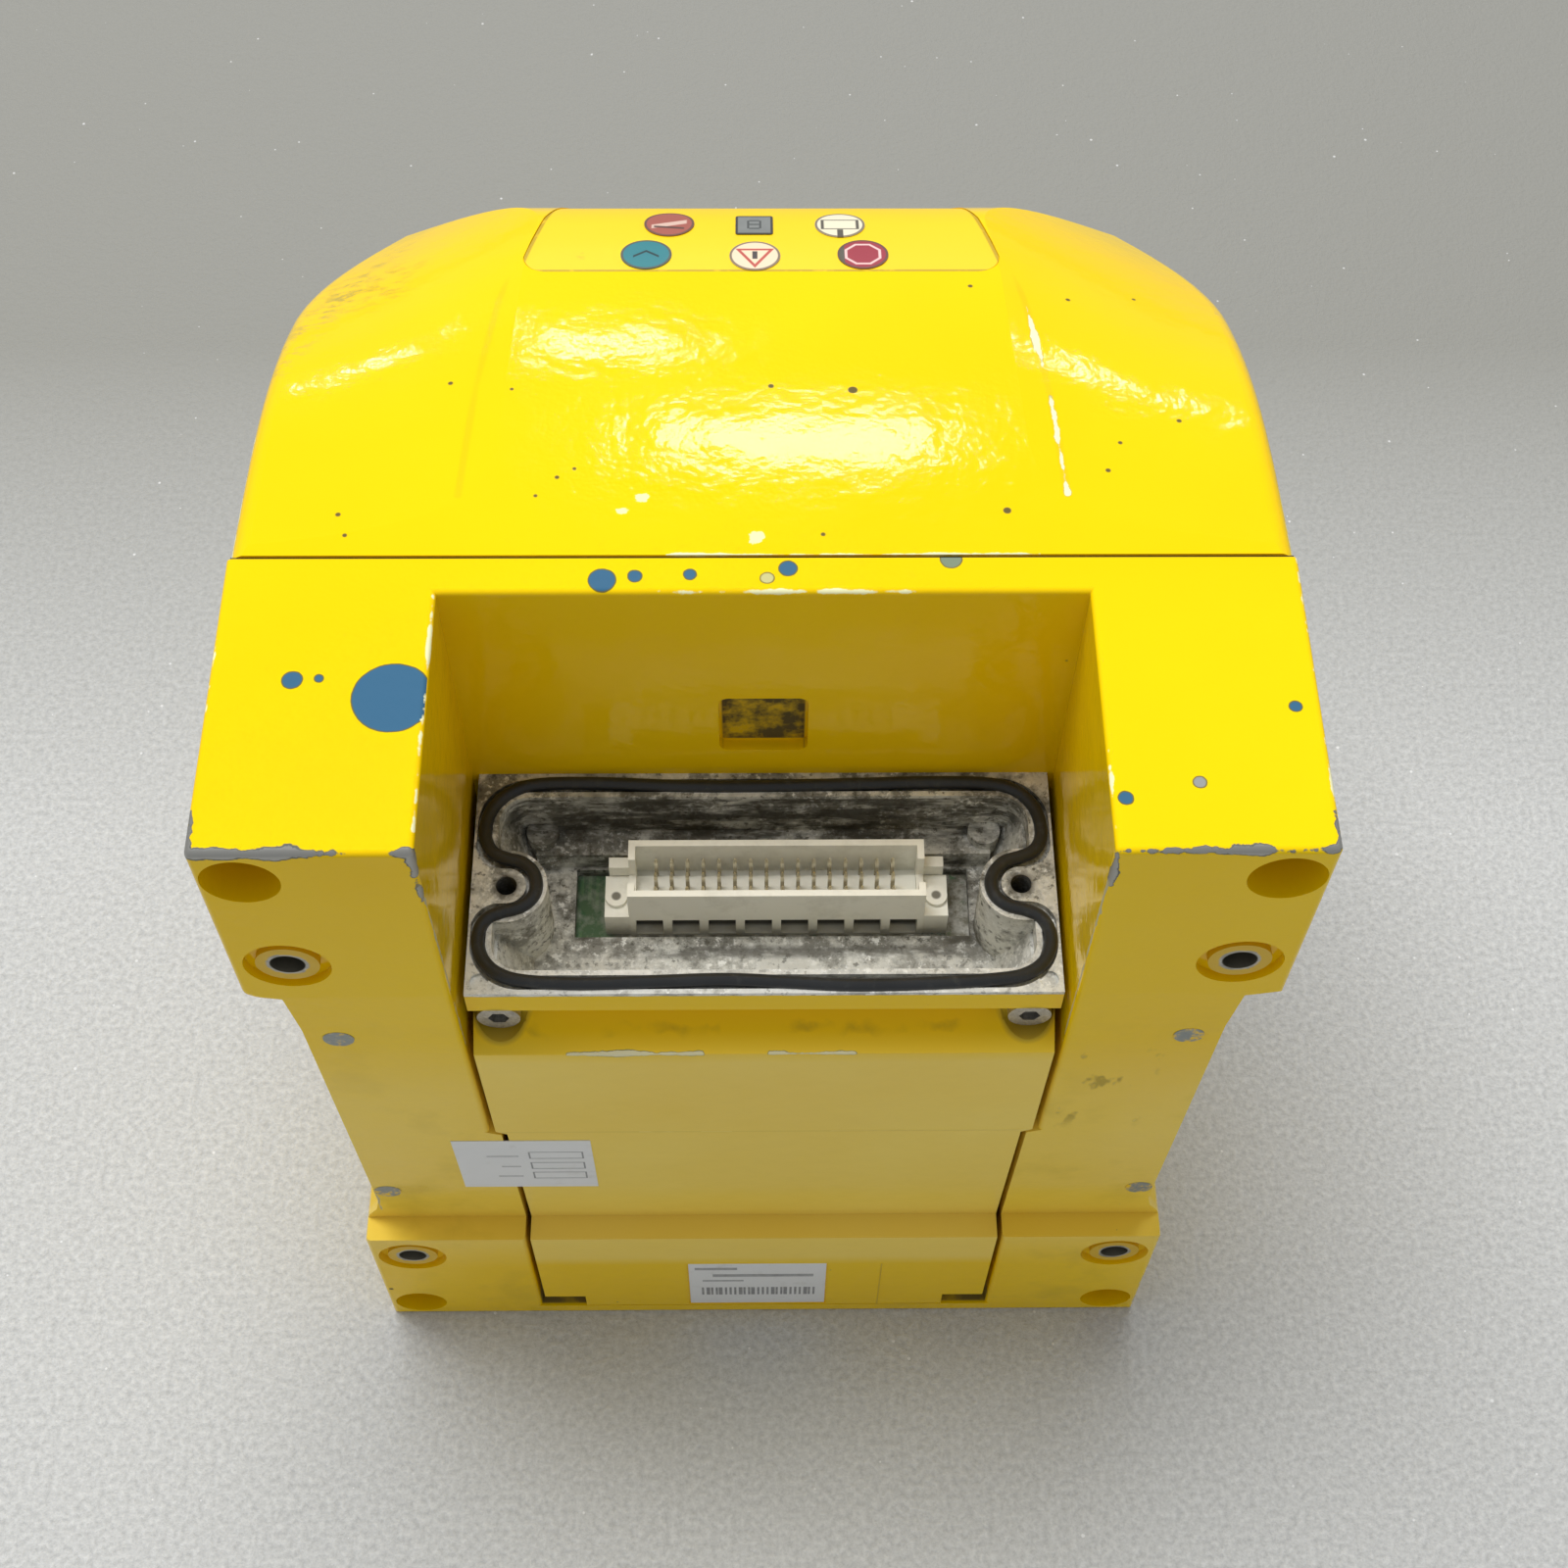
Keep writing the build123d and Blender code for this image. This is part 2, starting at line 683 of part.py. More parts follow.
# Gasket cord, round on top
with BuildPart() as deck_gasket:
    extrude(cord_band, amount=cord_groove + cord_proud)
    crest = deck_gasket.faces().sort_by(Axis.Z)[-1]
    chamfer(crest.edges(), 0.55)
deck_gasket.part.label = "deck_gasket"

# Socket board under the floor
board_top = socket_low
with BuildPart() as io_board:
    block(4 - board_half, board_half - 2, 14, channel_front - 2.1, board_top - board_thick, board_top)
io_board.part.label = "io_board"

# Plug socket: tray with slots, open shroud, ears with latch tabs
tray_top = shroud_top - 8.0
ear_top = shroud_top - 7.1
first_pin = pin_centre - pin_pitch * (pin_columns - 1) / 2
pin_places = [
    (first_pin + pin_pitch * column, at(pin_depth + pin_pitch * row))
    for row in pin_rows
    for column in range(pin_columns)
]
rivet_places = [(shroud_left - 2.1, shroud_back + 3.6), (shroud_right + 2.1, shroud_back + 3.6)]
with BuildPart() as connector_shroud:
    block(shroud_left, shroud_right, shroud_back, shroud_front, board_top, shroud_top)
    block(
        shroud_left + shroud_wall,
        shroud_right - shroud_wall,
        shroud_back + shroud_wall,
        shroud_front - shroud_wall,
        tray_top,
        shroud_top + 1,
        Mode.SUBTRACT,
    )
    for end in (shroud_left, shroud_right):
        low = shroud_top - 5.0
        block(end - 2, end + 2, shroud_back + 2.4, shroud_front - 3.6, low, shroud_top + 1, Mode.SUBTRACT)
    block(shroud_left - ear, shroud_right + ear, shroud_back + 0.2, shroud_front - 2.6, board_top, ear_top)
    for slot in range(8):
        middle = shroud_left + 3.2 + 5.85 * slot
        back, front = shroud_back - 1, shroud_back + 3.0
        block(middle - 2.2, middle + 2.2, back, front, board_top + 0.6, ear_top - 0.8, Mode.SUBTRACT)
    for end, side in ((shroud_left, -1), (shroud_right, 1)):
        reach = sorted((end, end + side * (ear - 0.6)))
        block(*reach, shroud_front - 2.5, shroud_front - 0.6, board_top, ear_top + 2.6)
    for rivet_x, rivet_depth in rivet_places:
        rod_z(rivet_x, rivet_depth, board_top - 1, ear_top + 1, 1.25, Mode.SUBTRACT)
    with BuildSketch(Plane.XY.offset(board_top)):
        with Locations(*pin_places):
            Rectangle(pin_side, pin_side)
    extrude(amount=shroud_top, mode=Mode.SUBTRACT)
connector_shroud.part.label = "connector_shroud"

with BuildPart() as connector_pins:
    with BuildSketch(Plane.XY.offset(board_top)):
        with Locations(*pin_places):
            Rectangle(pin_side, pin_side)
    extrude(amount=pin_top - board_top)
connector_pins.part.label = "connector_pins"

with BuildPart() as connector_rivets:
    for rivet_x, rivet_depth in rivet_places:
        rod_z(rivet_x, rivet_depth, board_top, ear_top, 1.25)
        rod_z(rivet_x, rivet_depth, ear_top, ear_top + 0.8, 1.8)
connector_rivets.part.label = "connector_rivets"

# Link socket between the two boards, through the housing wall
main_board_back = seam_depth + 6.8
with BuildPart() as board_link:
    block(-12.4, 12.4, channel_front - 7.1, main_board_back, link_low, link_high)
board_link.part.label = "board_link"


def hex_socket(x, z, depth, radius, deep):
    with BuildSketch(Plane.XZ.offset(-at(depth))) as hexagon:
        with Locations((x, z)):
            RegularPolygon(radius, 6)
    extrude(hexagon.sketch, amount=-deep, mode=Mode.SUBTRACT)


def socket_screw(x, z, seat, head_radius, head_tall, shank_radius, shank_long):
    rod_y(x, z, seat - head_tall, seat, head_radius)
    rod_y(x, z, seat, seat + shank_long, shank_radius)
    hex_socket(x, z, seat - head_tall, head_radius * 0.5, head_tall * 0.6)


with BuildPart() as module_screws_upper:
    for side in sides():
        socket_screw(side * deck_screw_x, deck_screw_z, deck_back + 4.8, 3.4, 3.8, 1.6, 39.0)
module_screws_upper.part.label = "module_screws_upper"

with BuildPart() as module_screws_lower:
    for side in sides():
        socket_screw(side * notch_screw_x, notch_screw_z, 5.5, 2.2, 2.6, 1.25, 43.0)
module_screws_lower.part.label = "module_screws_lower"

with BuildPart() as mount_inserts:
    for insert_x, insert_z in (upper_insert, lower_insert):
        for side in sides():
            rod_y(side * insert_x, insert_z, insert_lip, insert_lip + insert_long, insert_radius)
            rod_y(side * insert_x, insert_z, insert_lip - 1, insert_long, insert_bore, Mode.SUBTRACT)
mount_inserts.part.label = "mount_inserts"

with BuildPart() as casting_plugs:
    for plug_x, plug_z in plugs:
        for side in sides():
            start = face_depth(plug_z)
            rod_y(side * plug_x, plug_z, start - 0.15, start + 6, plug_radius)
casting_plugs.part.label = "casting_plugs"

with BuildPart() as head_screws:
    for side in sides():
        socket_screw(side * shoulder_hole[0], shoulder_hole[1], head_seat, 3.5, 4.0, 2.0, 17.0)
        socket_screw(side * low_screw[0], low_screw[1], channel_front + 4.3, 3.5, 4.0, 2.0, 9.0)
head_screws.part.label = "head_screws"

# Labels on the rear
with BuildPart() as type_label:
    block(-14.6, 12.0, film / 2, film, 4.6, 27.0)
type_label.part.label = "type_label"

sticker_low = 58.0 * rise
sticker_high = sticker_low + 23.4
sticker_left = 17.0 - body_half
with BuildPart() as inspection_label:
    low_d, high_d = face_depth(sticker_low), face_depth(sticker_high)
    strip = [
        (low_d, sticker_low),
        (low_d - 0.15, sticker_low),
        (high_d - 0.15, sticker_high),
        (high_d, sticker_high),
    ]
    from_side(strip, sticker_left, sticker_left + 24)
inspection_label.part.label = "inspection_label"

# Window: a leaning shell round the scan opening, between two seals
win_low = foot_top + seal
win_high = head_low - seal
win_back = body_front + seal
with BuildPart() as front_window:
    loft([arch_face(window_low, win_low, win_back), arch_face(window_high, win_high, win_back)])
    inner_low = arch_face(window_low - window_wall, win_low, win_back - 5)
    inner_high = arch_face(window_high - window_wall, win_high, win_back - 5)
    loft([inner_low, inner_high], mode=Mode.SUBTRACT)
front_window.part.label = "front_window"

with BuildPart() as window_seal:
    arch_band(window_low, foot_top, seal, body_front)
    arch_band(window_high, win_high, seal, body_front)
    for side in sides():
        strip = [
            (side * window_low, foot_top),
            (side * (window_low - window_wall), foot_top),
            (side * (window_high - window_wall), head_low),
            (side * window_high, head_low),
        ]
        from_behind(strip, body_front, win_back)
window_seal.part.label = "window_seal"

def pole_plan():
    """Nine poles with wide shoes, seen from above."""
    with Locations((0, at(axis_depth))):
        with PolarLocations(0, 9):
            with Locations((14 * core, 0)):
                Rectangle(9 * core, 2.6 * core)
            with Locations((18.2 * core, 0)):
                Rectangle(1.8 * core, 7.5 * core)


# Motor: base with bearing tube, stator, coils and bearings
tube_top_z = 24.0
with BuildPart() as motor_base:
    turned(pit_floor, pit_floor + 2.5, 20)
    turned(pit_floor, 13, 9)
    turned(13, tube_top_z, 7.5)
    turned(pit_floor - 1, tube_top_z + 1, 3.6, Mode.SUBTRACT)
    turned(8, 12, bearing_radius, Mode.SUBTRACT)
    turned(19, tube_top_z + 1, bearing_radius, Mode.SUBTRACT)
    for place in thirds(16):
        turned(3, 8, 1.5, Mode.SUBTRACT, place)
motor_base.part.label = "motor_base"

with BuildPart() as motor_screws:
    for place in thirds(16):
        turned(1.7, pit_floor + 2.5, 1.25, Mode.ADD, place)
        turned(pit_floor + 2.5, pit_floor + 4.0, 2.5, Mode.ADD, place)
motor_screws.part.label = "motor_screws"

with BuildPart() as stator_core:
    turned(13, 21, 10.5)
    with BuildSketch(Plane.XY.offset(13 * rise)):
        pole_plan()
    extrude(amount=8 * rise)
    turned(12, 22, 7.5, Mode.SUBTRACT)
stator_core.part.label = "stator_core"

with BuildPart() as motor_coils:
    with BuildSketch(Plane.XY.offset(11.8 * rise)):
        with Locations((0, at(axis_depth))):
            with PolarLocations(0, 9):
                with Locations((14.1 * core, 0)):
                    Rectangle(5.6 * core, 5.4 * core)
    extrude(amount=10.4 * rise)
    with BuildSketch(Plane.XY.offset(13 * rise)):
        pole_plan()
    extrude(amount=8 * rise, mode=Mode.SUBTRACT)
    turned(11, 23, 10.5, Mode.SUBTRACT)
motor_coils.part.label = "motor_coils"

with BuildPart() as rotor_bearings:
    for low in (8, 19):
        turned(low, low + 4, bearing_radius)
        turned(low - 1, low + 5, shaft_radius + run_gap, Mode.SUBTRACT)
rotor_bearings.part.label = "rotor_bearings"

# Rotor
bell_top = 26.5
disc_z = 30.0
hub_low = disc_z + 0.8
with BuildPart() as rotor_shaft:
    turned(5.5, hub_low + 6, shaft_radius)
    turned(6.6, 8 - run_gap, 3.2)
rotor_shaft.part.label = "rotor_shaft"

with BuildPart() as rotor_bell:
    turned(10, bell_top, 23.5)
    turned(9, tube_top_z + 0.4, 22, Mode.SUBTRACT)
    turned(23 + run_gap, disc_z, 4)
    turned(bell_top, disc_z, 8)
    turned(20, disc_z + 1, shaft_radius, Mode.SUBTRACT)
rotor_bell.part.label = "rotor_bell"

with BuildPart() as rotor_magnet:
    turned(11, 23, 22)
    turned(10, 24, 20.0, Mode.SUBTRACT)
rotor_magnet.part.label = "rotor_magnet"

with BuildPart() as encoder_disc:
    turned(disc_z, hub_low, 28.0)
    turned(disc_z - 1, hub_low + 1, shaft_radius, Mode.SUBTRACT)
    with BuildSketch(Plane.XY.offset(disc_z * rise - 1)):
        with Locations((0, at(axis_depth))):
            with PolarLocations(25.8 * core, 36):
                Rectangle(3.0 * core, 1.6 * core)
    extrude(amount=3, mode=Mode.SUBTRACT)
encoder_disc.part.label = "encoder_disc"

slant = glass_thick * sqrt(2)


def below_mirror(lower, mode):
    """Keeps what lies under the 45 degree plane, high behind and low in front."""
    reach = mirror_radius + 3
    ramp = [
        (-reach, hub_low - 1),
        (-reach, scan_z + reach - lower),
        (reach, scan_z - reach - lower),
        (reach, hub_low - 1),
    ]
    from_side([(axis_depth + d * core, z * rise) for d, z in ramp], -reach, reach, mode)


with BuildPart() as mirror_hub:
    turned(hub_low + 4, scan_z + mirror_radius, mirror_radius)
    turned(hub_low, hub_low + 4, 12)
    below_mirror(slant, Mode.INTERSECT)
    turned(hub_low - 1, hub_low + 6, shaft_radius, Mode.SUBTRACT)
mirror_hub.part.label = "mirror_hub"

with BuildPart() as mirror_glass:
    turned(hub_low, scan_z + mirror_radius + 2, mirror_radius - 0.6)
    below_mirror(0, Mode.INTERSECT)
    below_mirror(slant, Mode.SUBTRACT)
mirror_glass.part.label = "mirror_glass"

with BuildPart() as encoder_sensor:
    beside_axis(24.5, 37.3, 4.5, 26, 34.2)
    beside_axis(24, 30.6, 5, 29, 32, Mode.SUBTRACT)
    beside_axis(24, 29, 5, 25, 27, Mode.SUBTRACT)
encoder_sensor.part.label = "encoder_sensor"

# Optics over the mirror
carrier_z = head_low + floor_wall
with BuildPart() as lens_carrier:
    rod_z(0, axis_depth, carrier_z, carrier_z + 3, carrier_radius)
    block(-half, half, 0, body_front + 2, carrier_z - 1, carrier_z + 4, Mode.SUBTRACT)
    rod_z(0, axis_depth, carrier_z, tube_top, lens_radius + 3)
    rod_z(0, axis_depth, carrier_z + 1.5, tube_top + 1, lens_radius, Mode.SUBTRACT)
    rod_z(0, axis_depth, carrier_z - 1, carrier_z + 2, lens_radius - 2, Mode.SUBTRACT)
lens_carrier.part.label = "lens_carrier"

lens_low = carrier_z + 1.5
with BuildPart() as receiver_lens:
    with BuildSketch(Plane.XZ.offset(-at(axis_depth))):
        with BuildLine():
            rim_top = (lens_radius - 0.05, lens_low + 3)
            crest_edge = (laser_radius, lens_low + 10)
            low_rim = (lens_radius - 0.05, lens_low)
            Polyline(crest_edge, (laser_radius, lens_low), low_rim, rim_top)
            ThreePointArc(rim_top, (20 * core, lens_low + 7.4), crest_edge)
        make_face()
    revolve(axis=Axis((0, at(axis_depth), 0), (0, 0, 1)))
receiver_lens.part.label = "receiver_lens"

with BuildPart() as laser_tube:
    rod_z(0, axis_depth, lens_low - 3, lens_low + 18, laser_radius)
    rod_z(0, axis_depth, lens_low - 4, lens_low - 1, laser_radius - 1.8, Mode.SUBTRACT)
laser_tube.part.label = "laser_tube"

with BuildPart() as detector_board:
    rod_z(0, axis_depth, tube_top, tube_top + board_thick, lens_radius + 2.6)
detector_board.part.label = "detector_board"

with BuildPart() as detector:
    rod_z(0, axis_depth, tube_top - 3.5, tube_top, 4.2)
    rod_z(0, axis_depth, tube_top - 1, tube_top, 5.0)
detector.part.label = "detector"

# Main board on four stand-offs from the housing wall
board_low, board_high = head_low + 7.0, height - 17.0
board_reach = 31.0 * spread
post_levels = (board_low + 20.0, board_high - 6.0)
post_places = [(side * (board_reach - 5), z) for side in sides() for z in post_levels]
with BuildPart() as main_board:
    block(-board_reach, board_reach, main_board_back, main_board_back + board_thick, board_low, board_high)
    for post_x, post_z in post_places:
        rod_y(post_x, post_z, main_board_back - 6, main_board_back + 4, 1.6, Mode.SUBTRACT)
main_board.part.label = "main_board"

with BuildPart() as board_standoffs:
    for post_x, post_z in post_places:
        rod_y(post_x, post_z, seam_depth, main_board_back, 3.0)
        rod_y(post_x, post_z, seam_depth - 1, main_board_back + 1, 1.25, Mode.SUBTRACT)
board_standoffs.part.label = "board_standoffs"

# Display board under the nose with its lamps
with BuildPart() as display_board:
    with BuildSketch(display_plane):
        Rectangle(62 * spread, 22)
        with Locations(*display_posts):
            Circle(1.5, mode=Mode.SUBTRACT)
    extrude(amount=-board_thick)
display_board.part.label = "display_board"

lamp_places = ((-15, 5.5), (13, 5.5), (-17, -5), (0, -5), (17, -5))
with BuildPart() as display_lamps:
    with BuildSketch(display_plane):
        with Locations(*[(x * spread, y) for x, y in lamp_places]):
            Circle(1.5)
        with Locations((-1, 5.5)):
            Rectangle(6, 7)
    extrude(amount=4)
display_lamps.part.label = "display_lamps"

with BuildPart() as board_screws:
    for post_x, post_z in post_places:
        start = main_board_back + board_thick
        rod_y(post_x, post_z, start - 6, start, 1.25)
        rod_y(post_x, post_z, start, start + 1.8, 2.6)
    with BuildSketch(display_plane.offset(-board_thick - 1.8)):
        with Locations(*display_posts):
            Circle(2.6)
    extrude(amount=1.8)
    with BuildSketch(display_plane.offset(-board_thick)):
        with Locations(*display_posts):
            Circle(1.25)
    extrude(amount=6)
board_screws.part.label = "board_screws"

pieces = (
    rear_housing,
    head_cover,
    head_seal,
    indicator_label,
    indicator_lenses,
    digit_window,
    io_module,
    deck_gasket,
    io_board,
    connector_shroud,
    connector_pins,
    connector_rivets,
    board_link,
    module_screws_upper,
    module_screws_lower,
    mount_inserts,
    casting_plugs,
    head_screws,
    type_label,
    inspection_label,
    front_window,
    window_seal,
    motor_base,
    motor_screws,
    stator_core,
    motor_coils,
    rotor_bearings,
    rotor_shaft,
    rotor_bell,
    rotor_magnet,
    encoder_disc,
    mirror_hub,
    mirror_glass,
    encoder_sensor,
    lens_carrier,
    receiver_lens,
    laser_tube,
    detector_board,
    detector,
    main_board,
    board_standoffs,
    display_board,
    display_lamps,
    board_screws,
)
for piece in pieces:
    export_step(piece.part, "parts/" + piece.part.label + ".step")
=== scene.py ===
# %% [markdown]
# # A safety laser scanner and its finishes
#
# The object is a yellow cast housing, about 155 mm wide, 160 mm deep and 185 mm high.
# It is seen from behind and above, with an open plug recess in the middle.
# The castings, screws and inner parts come from the CAD model as they are.
# This script gives them their finishes and adds the parts that a path or a grid makes better:
# the gasket cord and the contact pins.

import math
from functools import reduce

import bpy
from mathutils import Matrix, Vector


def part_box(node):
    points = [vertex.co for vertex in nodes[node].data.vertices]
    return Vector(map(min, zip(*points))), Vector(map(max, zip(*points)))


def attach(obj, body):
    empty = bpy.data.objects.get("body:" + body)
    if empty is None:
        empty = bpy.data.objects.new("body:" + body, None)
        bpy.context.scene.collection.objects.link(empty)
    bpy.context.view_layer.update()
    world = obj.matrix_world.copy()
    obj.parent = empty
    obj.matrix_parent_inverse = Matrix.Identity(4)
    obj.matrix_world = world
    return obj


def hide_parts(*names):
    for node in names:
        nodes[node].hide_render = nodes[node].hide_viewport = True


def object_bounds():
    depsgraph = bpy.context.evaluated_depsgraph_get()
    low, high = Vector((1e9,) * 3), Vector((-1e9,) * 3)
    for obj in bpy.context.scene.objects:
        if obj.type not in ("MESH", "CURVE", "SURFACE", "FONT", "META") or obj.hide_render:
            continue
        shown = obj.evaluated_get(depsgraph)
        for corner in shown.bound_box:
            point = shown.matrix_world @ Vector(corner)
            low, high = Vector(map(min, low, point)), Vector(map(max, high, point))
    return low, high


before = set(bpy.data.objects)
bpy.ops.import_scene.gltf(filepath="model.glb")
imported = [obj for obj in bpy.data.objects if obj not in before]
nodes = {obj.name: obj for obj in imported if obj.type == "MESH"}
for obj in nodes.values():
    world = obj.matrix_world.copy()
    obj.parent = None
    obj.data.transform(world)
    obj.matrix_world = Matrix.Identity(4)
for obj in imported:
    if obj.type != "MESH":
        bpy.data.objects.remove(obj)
cad_box = [list(corner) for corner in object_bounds()]
rear = 80.0  # millimetres from the rear face to the origin of the frame


def measured(name):
    """A node's lowest and highest corner in millimetres, with y as depth from the rear face."""
    return [corner * 1000.0 + Vector((0.0, rear, 0.0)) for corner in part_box(name)]


print(len(nodes), "nodes, box", [[round(v, 4) for v in corner] for corner in cad_box])

# %% [markdown]
# ## Camera
#
# The camera looks down at the back of the scanner. Its lens and place were worked out from
# the socket's contact pitch and the straight edges of the housing.
# The three axes of the camera are written out, so that nothing depends on the picture's size.

# %% Camera
elevation, yaw, roll = (math.radians(a) for a in (58.33, 1.30, -0.91))
forward = Vector((
    math.sin(yaw) * math.cos(elevation),
    math.cos(yaw) * math.cos(elevation),
    -math.sin(elevation),
))
right = Vector((math.cos(yaw), -math.sin(yaw), 0.0))
down = forward.cross(right)
across = math.cos(roll) * right + math.sin(roll) * down
below = math.cos(roll) * down - math.sin(roll) * right

focal_pixels, picture_pixels = 2339.0, 1600.0
camera_place = Vector((-0.0011, -0.2325, 0.4498))
lens = bpy.data.cameras.new("camera")
lens.sensor_width = 36.0
lens.lens = focal_pixels / picture_pixels * lens.sensor_width
lens.clip_start = 0.01
camera = bpy.data.objects.new("camera", lens)
bpy.context.scene.collection.objects.link(camera)
camera.matrix_world = Matrix((across, -below, -forward)).transposed().to_4x4()
camera.matrix_world.translation = camera_place
bpy.context.scene.camera = camera
bpy.context.scene.view_settings.view_transform = "Standard"
print("lens", round(lens.lens, 2), "mm")

# %% [markdown]
# ## Sums with sockets
#
# A finish is a small sum over the surface: noise, distances and masks that end in a colour.
# Wiring such sums by hand hides what they say, so one small class wraps a socket,
# and an expression on it adds the Math nodes.

# %% Socket sums
def tell(kind):
    """Prints what a class can do."""
    print(kind.__name__, "has", ", ".join(name for name in vars(kind) if name[0] != "_"))


class Flow:
    """A value that comes out of a node, ready for sums."""

    def __init__(self, finish, socket):
        self.finish = finish
        self.socket = socket

    def maths(self, operation, *values, clamp=False):
        settings = {"operation": operation, "use_clamp": clamp}
        made = self.finish.node("ShaderNodeMath", settings, dict(enumerate(values)))
        return Flow(self.finish, made.outputs[0])

    def __add__(self, other):
        return self.maths("ADD", self, other)

    def __sub__(self, other):
        return self.maths("SUBTRACT", self, other)

    def __rsub__(self, other):
        return self.maths("SUBTRACT", other, self)

    def __mul__(self, other):
        return self.maths("MULTIPLY", self, other)

    def __truediv__(self, other):
        return self.maths("DIVIDE", self, other)

    def __pow__(self, other):
        return self.maths("POWER", self, other)

    __radd__ = __add__
    __rmul__ = __mul__

    def __abs__(self):
        return self.maths("ABSOLUTE", self)

    def most(self, other):
        return self.maths("MAXIMUM", self, other)

    def least(self, other):
        return self.maths("MINIMUM", self, other)

    def part(self):
        """What is left after the whole number."""
        return self.maths("FRACT", self)

    def ramp(self, start, end, low=0.0, high=1.0):
        """Runs from low to high while the value runs from start to end, and stays there."""
        ends = {"From Min": start, "From Max": end, "To Min": low, "To Max": high}
        made = self.finish.node("ShaderNodeMapRange", {}, {"Value": self, **ends})
        return Flow(self.finish, made.outputs[0])

    def under(self, edge, soft=0.1):
        """1 where the value is under the edge, 0 above it."""
        return self.ramp(edge - soft / 2, edge + soft / 2, 1.0, 0.0)

    def over(self, edge, soft=0.1):
        """0 where the value is under the edge, 1 above it."""
        return self.ramp(edge - soft / 2, edge + soft / 2)


tell(Flow)

# %% [markdown]
# ## One finish
#
# A finish is one Principled material. Every mark on it has a place in millimetres, measured
# as on the castings: x to the right, depth from the rear face, z up from the floor.
# The class has one method for each kind of node that the finishes need.

# %% Finishes
class Finish:
    """A material under construction, with places measured in millimetres."""

    def __init__(self, name, **constants):
        self.material = bpy.data.materials.new(name)
        self.material.use_nodes = True
        self.tree = self.material.node_tree
        self.shader = self.tree.nodes["Principled BSDF"]
        for socket, value in constants.items():
            self.shader.inputs[socket.replace("_", " ")].default_value = value
        place = Flow(self, self.node("ShaderNodeTexCoord").outputs["Object"])
        sockets = {0: place, 1: (1000.0, 1000.0, 1000.0), 2: (0.0, rear, 0.0)}
        self.place = self.vector("MULTIPLY_ADD", sockets)
        split = self.node("ShaderNodeSeparateXYZ", {}, {0: self.place})
        self.x, self.depth, self.z = (Flow(self, o) for o in split.outputs)

    def node(self, kind, settings=None, sockets=None):
        made = self.tree.nodes.new(kind)
        for name, value in (settings or {}).items():
            setattr(made, name, value)
        for key, value in (sockets or {}).items():
            if isinstance(value, Flow):
                self.tree.links.new(value.socket, made.inputs[key])
            else:
                made.inputs[key].default_value = value
        return made

    def vector(self, operation, sockets, output=0):
        made = self.node("ShaderNodeVectorMath", {"operation": operation}, sockets)
        return Flow(self, made.outputs[output])

    def noise(self, size, detail=2.0, roughness=0.5, stretch=None):
        """Soft random values about one half, with lumps of the given size in millimetres."""
        place = self.place
        if stretch:
            place = self.vector("MULTIPLY", {0: place, 1: stretch})
        sockets = {"Vector": place, "Scale": 1.0 / size, "Detail": detail, "Roughness": roughness}
        return Flow(self, self.node("ShaderNodeTexNoise", {}, sockets).outputs[0])

    def specks(self, spacing, radius, share, ragged=0.0):
        """Small round marks, one in each cell of a loose grid, and only a share of them."""
        sockets = {"Vector": self.place, "Scale": 1.0 / spacing}
        cells = self.node("ShaderNodeTexVoronoi", {}, sockets)
        reach = Flow(self, cells.outputs["Distance"]) * spacing
        if ragged:
            reach = reach + self.noise(radius, 2) * ragged
        pick = self.node("ShaderNodeSeparateColor", {}, {0: Flow(self, cells.outputs["Color"])})
        size = Flow(self, pick.outputs[1]) * radius + radius * 0.4
        return (reach / size).under(1.0, 0.3) * Flow(self, pick.outputs[0]).under(share, 0.001)

    def mix(self, mask, first, second):
        """The first colour where the mask is 0, the second where it is 1."""
        sockets = {0: mask, 6: colour(first), 7: colour(second)}
        made = self.node("ShaderNodeMix", {"data_type": "RGBA"}, sockets)
        return Flow(self, made.outputs[2])

    def from_point(self, point):
        return self.vector("DISTANCE", {0: self.place, 1: point}, "Value")

    def from_mark(self, x, depth):
        """Distance seen from above."""
        flat = self.vector("MULTIPLY", {0: self.place, 1: (1.0, 1.0, 0.0)})
        return self.vector("DISTANCE", {0: flat, 1: (x, depth, 0.0)}, "Value")

    def from_line(self, start, end):
        """Distance from the straight line between two points."""
        run = Vector(end) - Vector(start)
        offset = self.vector("SUBTRACT", {0: self.place, 1: start})
        along = self.vector("DOT_PRODUCT", {0: offset, 1: tuple(run)}, "Value")
        share = along.maths("MULTIPLY", along, 1.0 / run.length_squared, clamp=True)
        foot = self.vector("SCALE", {0: tuple(run), "Scale": share})
        return self.vector("DISTANCE", {0: offset, 1: foot}, "Value")

    def put(self, **flows):
        """Feeds the shader's own sockets."""
        for socket, value in flows.items():
            name = socket.replace("_", " ")
            if isinstance(value, Flow):
                self.tree.links.new(value.socket, self.shader.inputs[name])
            else:
                self.shader.inputs[name].default_value = value

    def relief(self, height, distance, strength=1.0):
        """Bumps of the given height in millimetres."""
        sockets = {"Height": height, "Distance": distance * 0.001, "Strength": strength}
        self.put(Normal=Flow(self, self.node("ShaderNodeBump", {}, sockets).outputs[0]))


def colour(value):
    """Three numbers become a colour; a flow stays a flow."""
    return value if isinstance(value, Flow) else (*value, 1.0)


def dress(finish, *names):
    """Gives CAD nodes this finish."""
    for name in names:
        mesh = nodes[name].data
        mesh.materials.clear()
        mesh.materials.append(finish.material)
    print(finish.material.name, "on", ", ".join(names))


tell(Finish)

